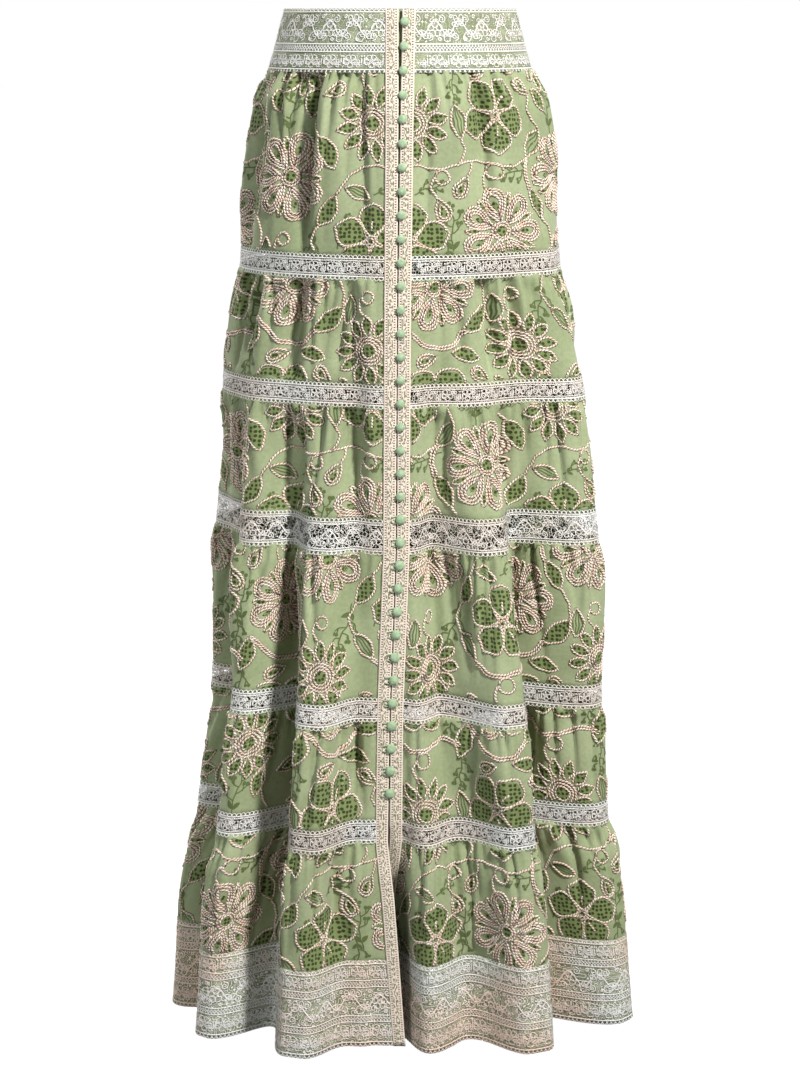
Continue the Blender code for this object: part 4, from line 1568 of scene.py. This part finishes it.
def make_world():
    world = bpy.data.worlds.new("studio")
    world.use_nodes = True
    nodes, links = world.node_tree.nodes, world.node_tree.links
    background = nodes["Background"]
    background.inputs["Color"].default_value = WHITE
    seen = nodes.new("ShaderNodeLightPath").outputs["Is Camera Ray"]
    strength = nodes.new("ShaderNodeMapRange")
    strength.inputs["To Min"].default_value = WORLD_STRENGTH
    links.new(seen, strength.inputs["Value"])
    links.new(strength.outputs["Result"], background.inputs["Strength"])
    bpy.context.scene.world = world


def make_stage():
    """Floor, world, lights and camera."""
    make_floor()
    make_world()
    for light in LIGHTS:
        lamp = bpy.data.lights.new(light.name, "AREA")
        lamp.shape = "DISK"
        lamp.size = light.size
        lamp.energy = light.power
        lamp.color = light.colour
        holder = add(light.name, lamp)
        holder.location = light.place
        aim = Vector(AIM) - Vector(light.place)
        holder.rotation_euler = aim.to_track_quat("-Z", "Y").to_euler()
    camera_data = bpy.data.cameras.new("camera")
    camera_data.lens = LENS
    camera_data.sensor_width = SENSOR
    camera = add("camera", camera_data)
    camera.location = (0.0, -CAMERA_AWAY, 0.0)
    camera.rotation_euler = (math.radians(90 - CAMERA_PITCH), 0.0, 0.0)
    scene = bpy.context.scene
    scene.camera = camera
    scene.view_settings.view_transform = "Standard"
    scene.view_settings.look = "None"


def make_tier(band, number, materials):
    """A gathered cotton tier with its embroidery."""
    top = band.top - SEAM_REACH
    bottom = band.bottom + SEAM_REACH
    drops = row_drops(top, bottom, band.top + CLOSE_TO)
    panel = Panel(band, drops, tier_relief(band, number), 1.0, COTTON_LIFT)
    cloth = panel_shell(band.name + "_cloth", panel, COTTON_WALL, materials["cotton"])
    on_it = embroider(band, number, panel, materials)
    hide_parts(band.name)


def make_lace(band, materials):
    """A band of lace: open net, or close lace on cotton, with its threads on it."""
    panel = Panel(band, row_drops(band.top, band.bottom, band.top), None, LACE_PITCH, LACE_LIFT)
    kind = "net" if band.cloth == "open" else "backed"
    ground = materials[band.name if band.cloth == "backed" else "net"]
    cloth = panel_shell(band.name + "_" + kind, panel, LACE_WALL, ground)
    threads = Layer(panel)
    for row, *sizes in LACE_ROWS.get(band.name, ()):
        row(threads, *sizes)
    if band.cloth == "open":
        lay = wide_lace if band.bottom - band.top > WIDE_LACE_FROM else narrow_lace
        lay(threads, band.top, band.bottom)
    thread = materials["hem_thread" if band.name == "hem_border" else "thread"]
    lace = threads.piece(band.name + "_threads", thread, "lace")
    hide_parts(band.name)


def make_skirt():
    materials = {
        "cotton": make_cotton(),
        "cords": make_cord(),
        "fills": make_fill(),
        "print": make_print(),
        "thread": make_thread("lace_thread", THREAD_PEACH),
        "hem_thread": make_thread("hem_thread", HEM_PEACH),
        "net": make_net(),
        # The second value of each backed lace is the share of painted shade under it
        "waistband": make_backed("waist_lace", 0.45, 0.14, 0.085, THREAD_PEACH),
        "hem_border": make_backed("hem_lace", 0.60, 0.34, 0.20, HEM_PEACH),
        "strip": make_strip(),
        "button": make_button_cloth(),
    }
    number = 0
    for band in BANDS:
        if band.cloth == "cotton":
            number += 1
            make_tier(band, number, materials)
        else:
            make_lace(band, materials)
    make_strips(materials["strip"])
    make_underlap(materials["cotton"])
    make_buttons(materials["button"])
    make_button_loops(materials["button"])


make_stage()
make_skirt()
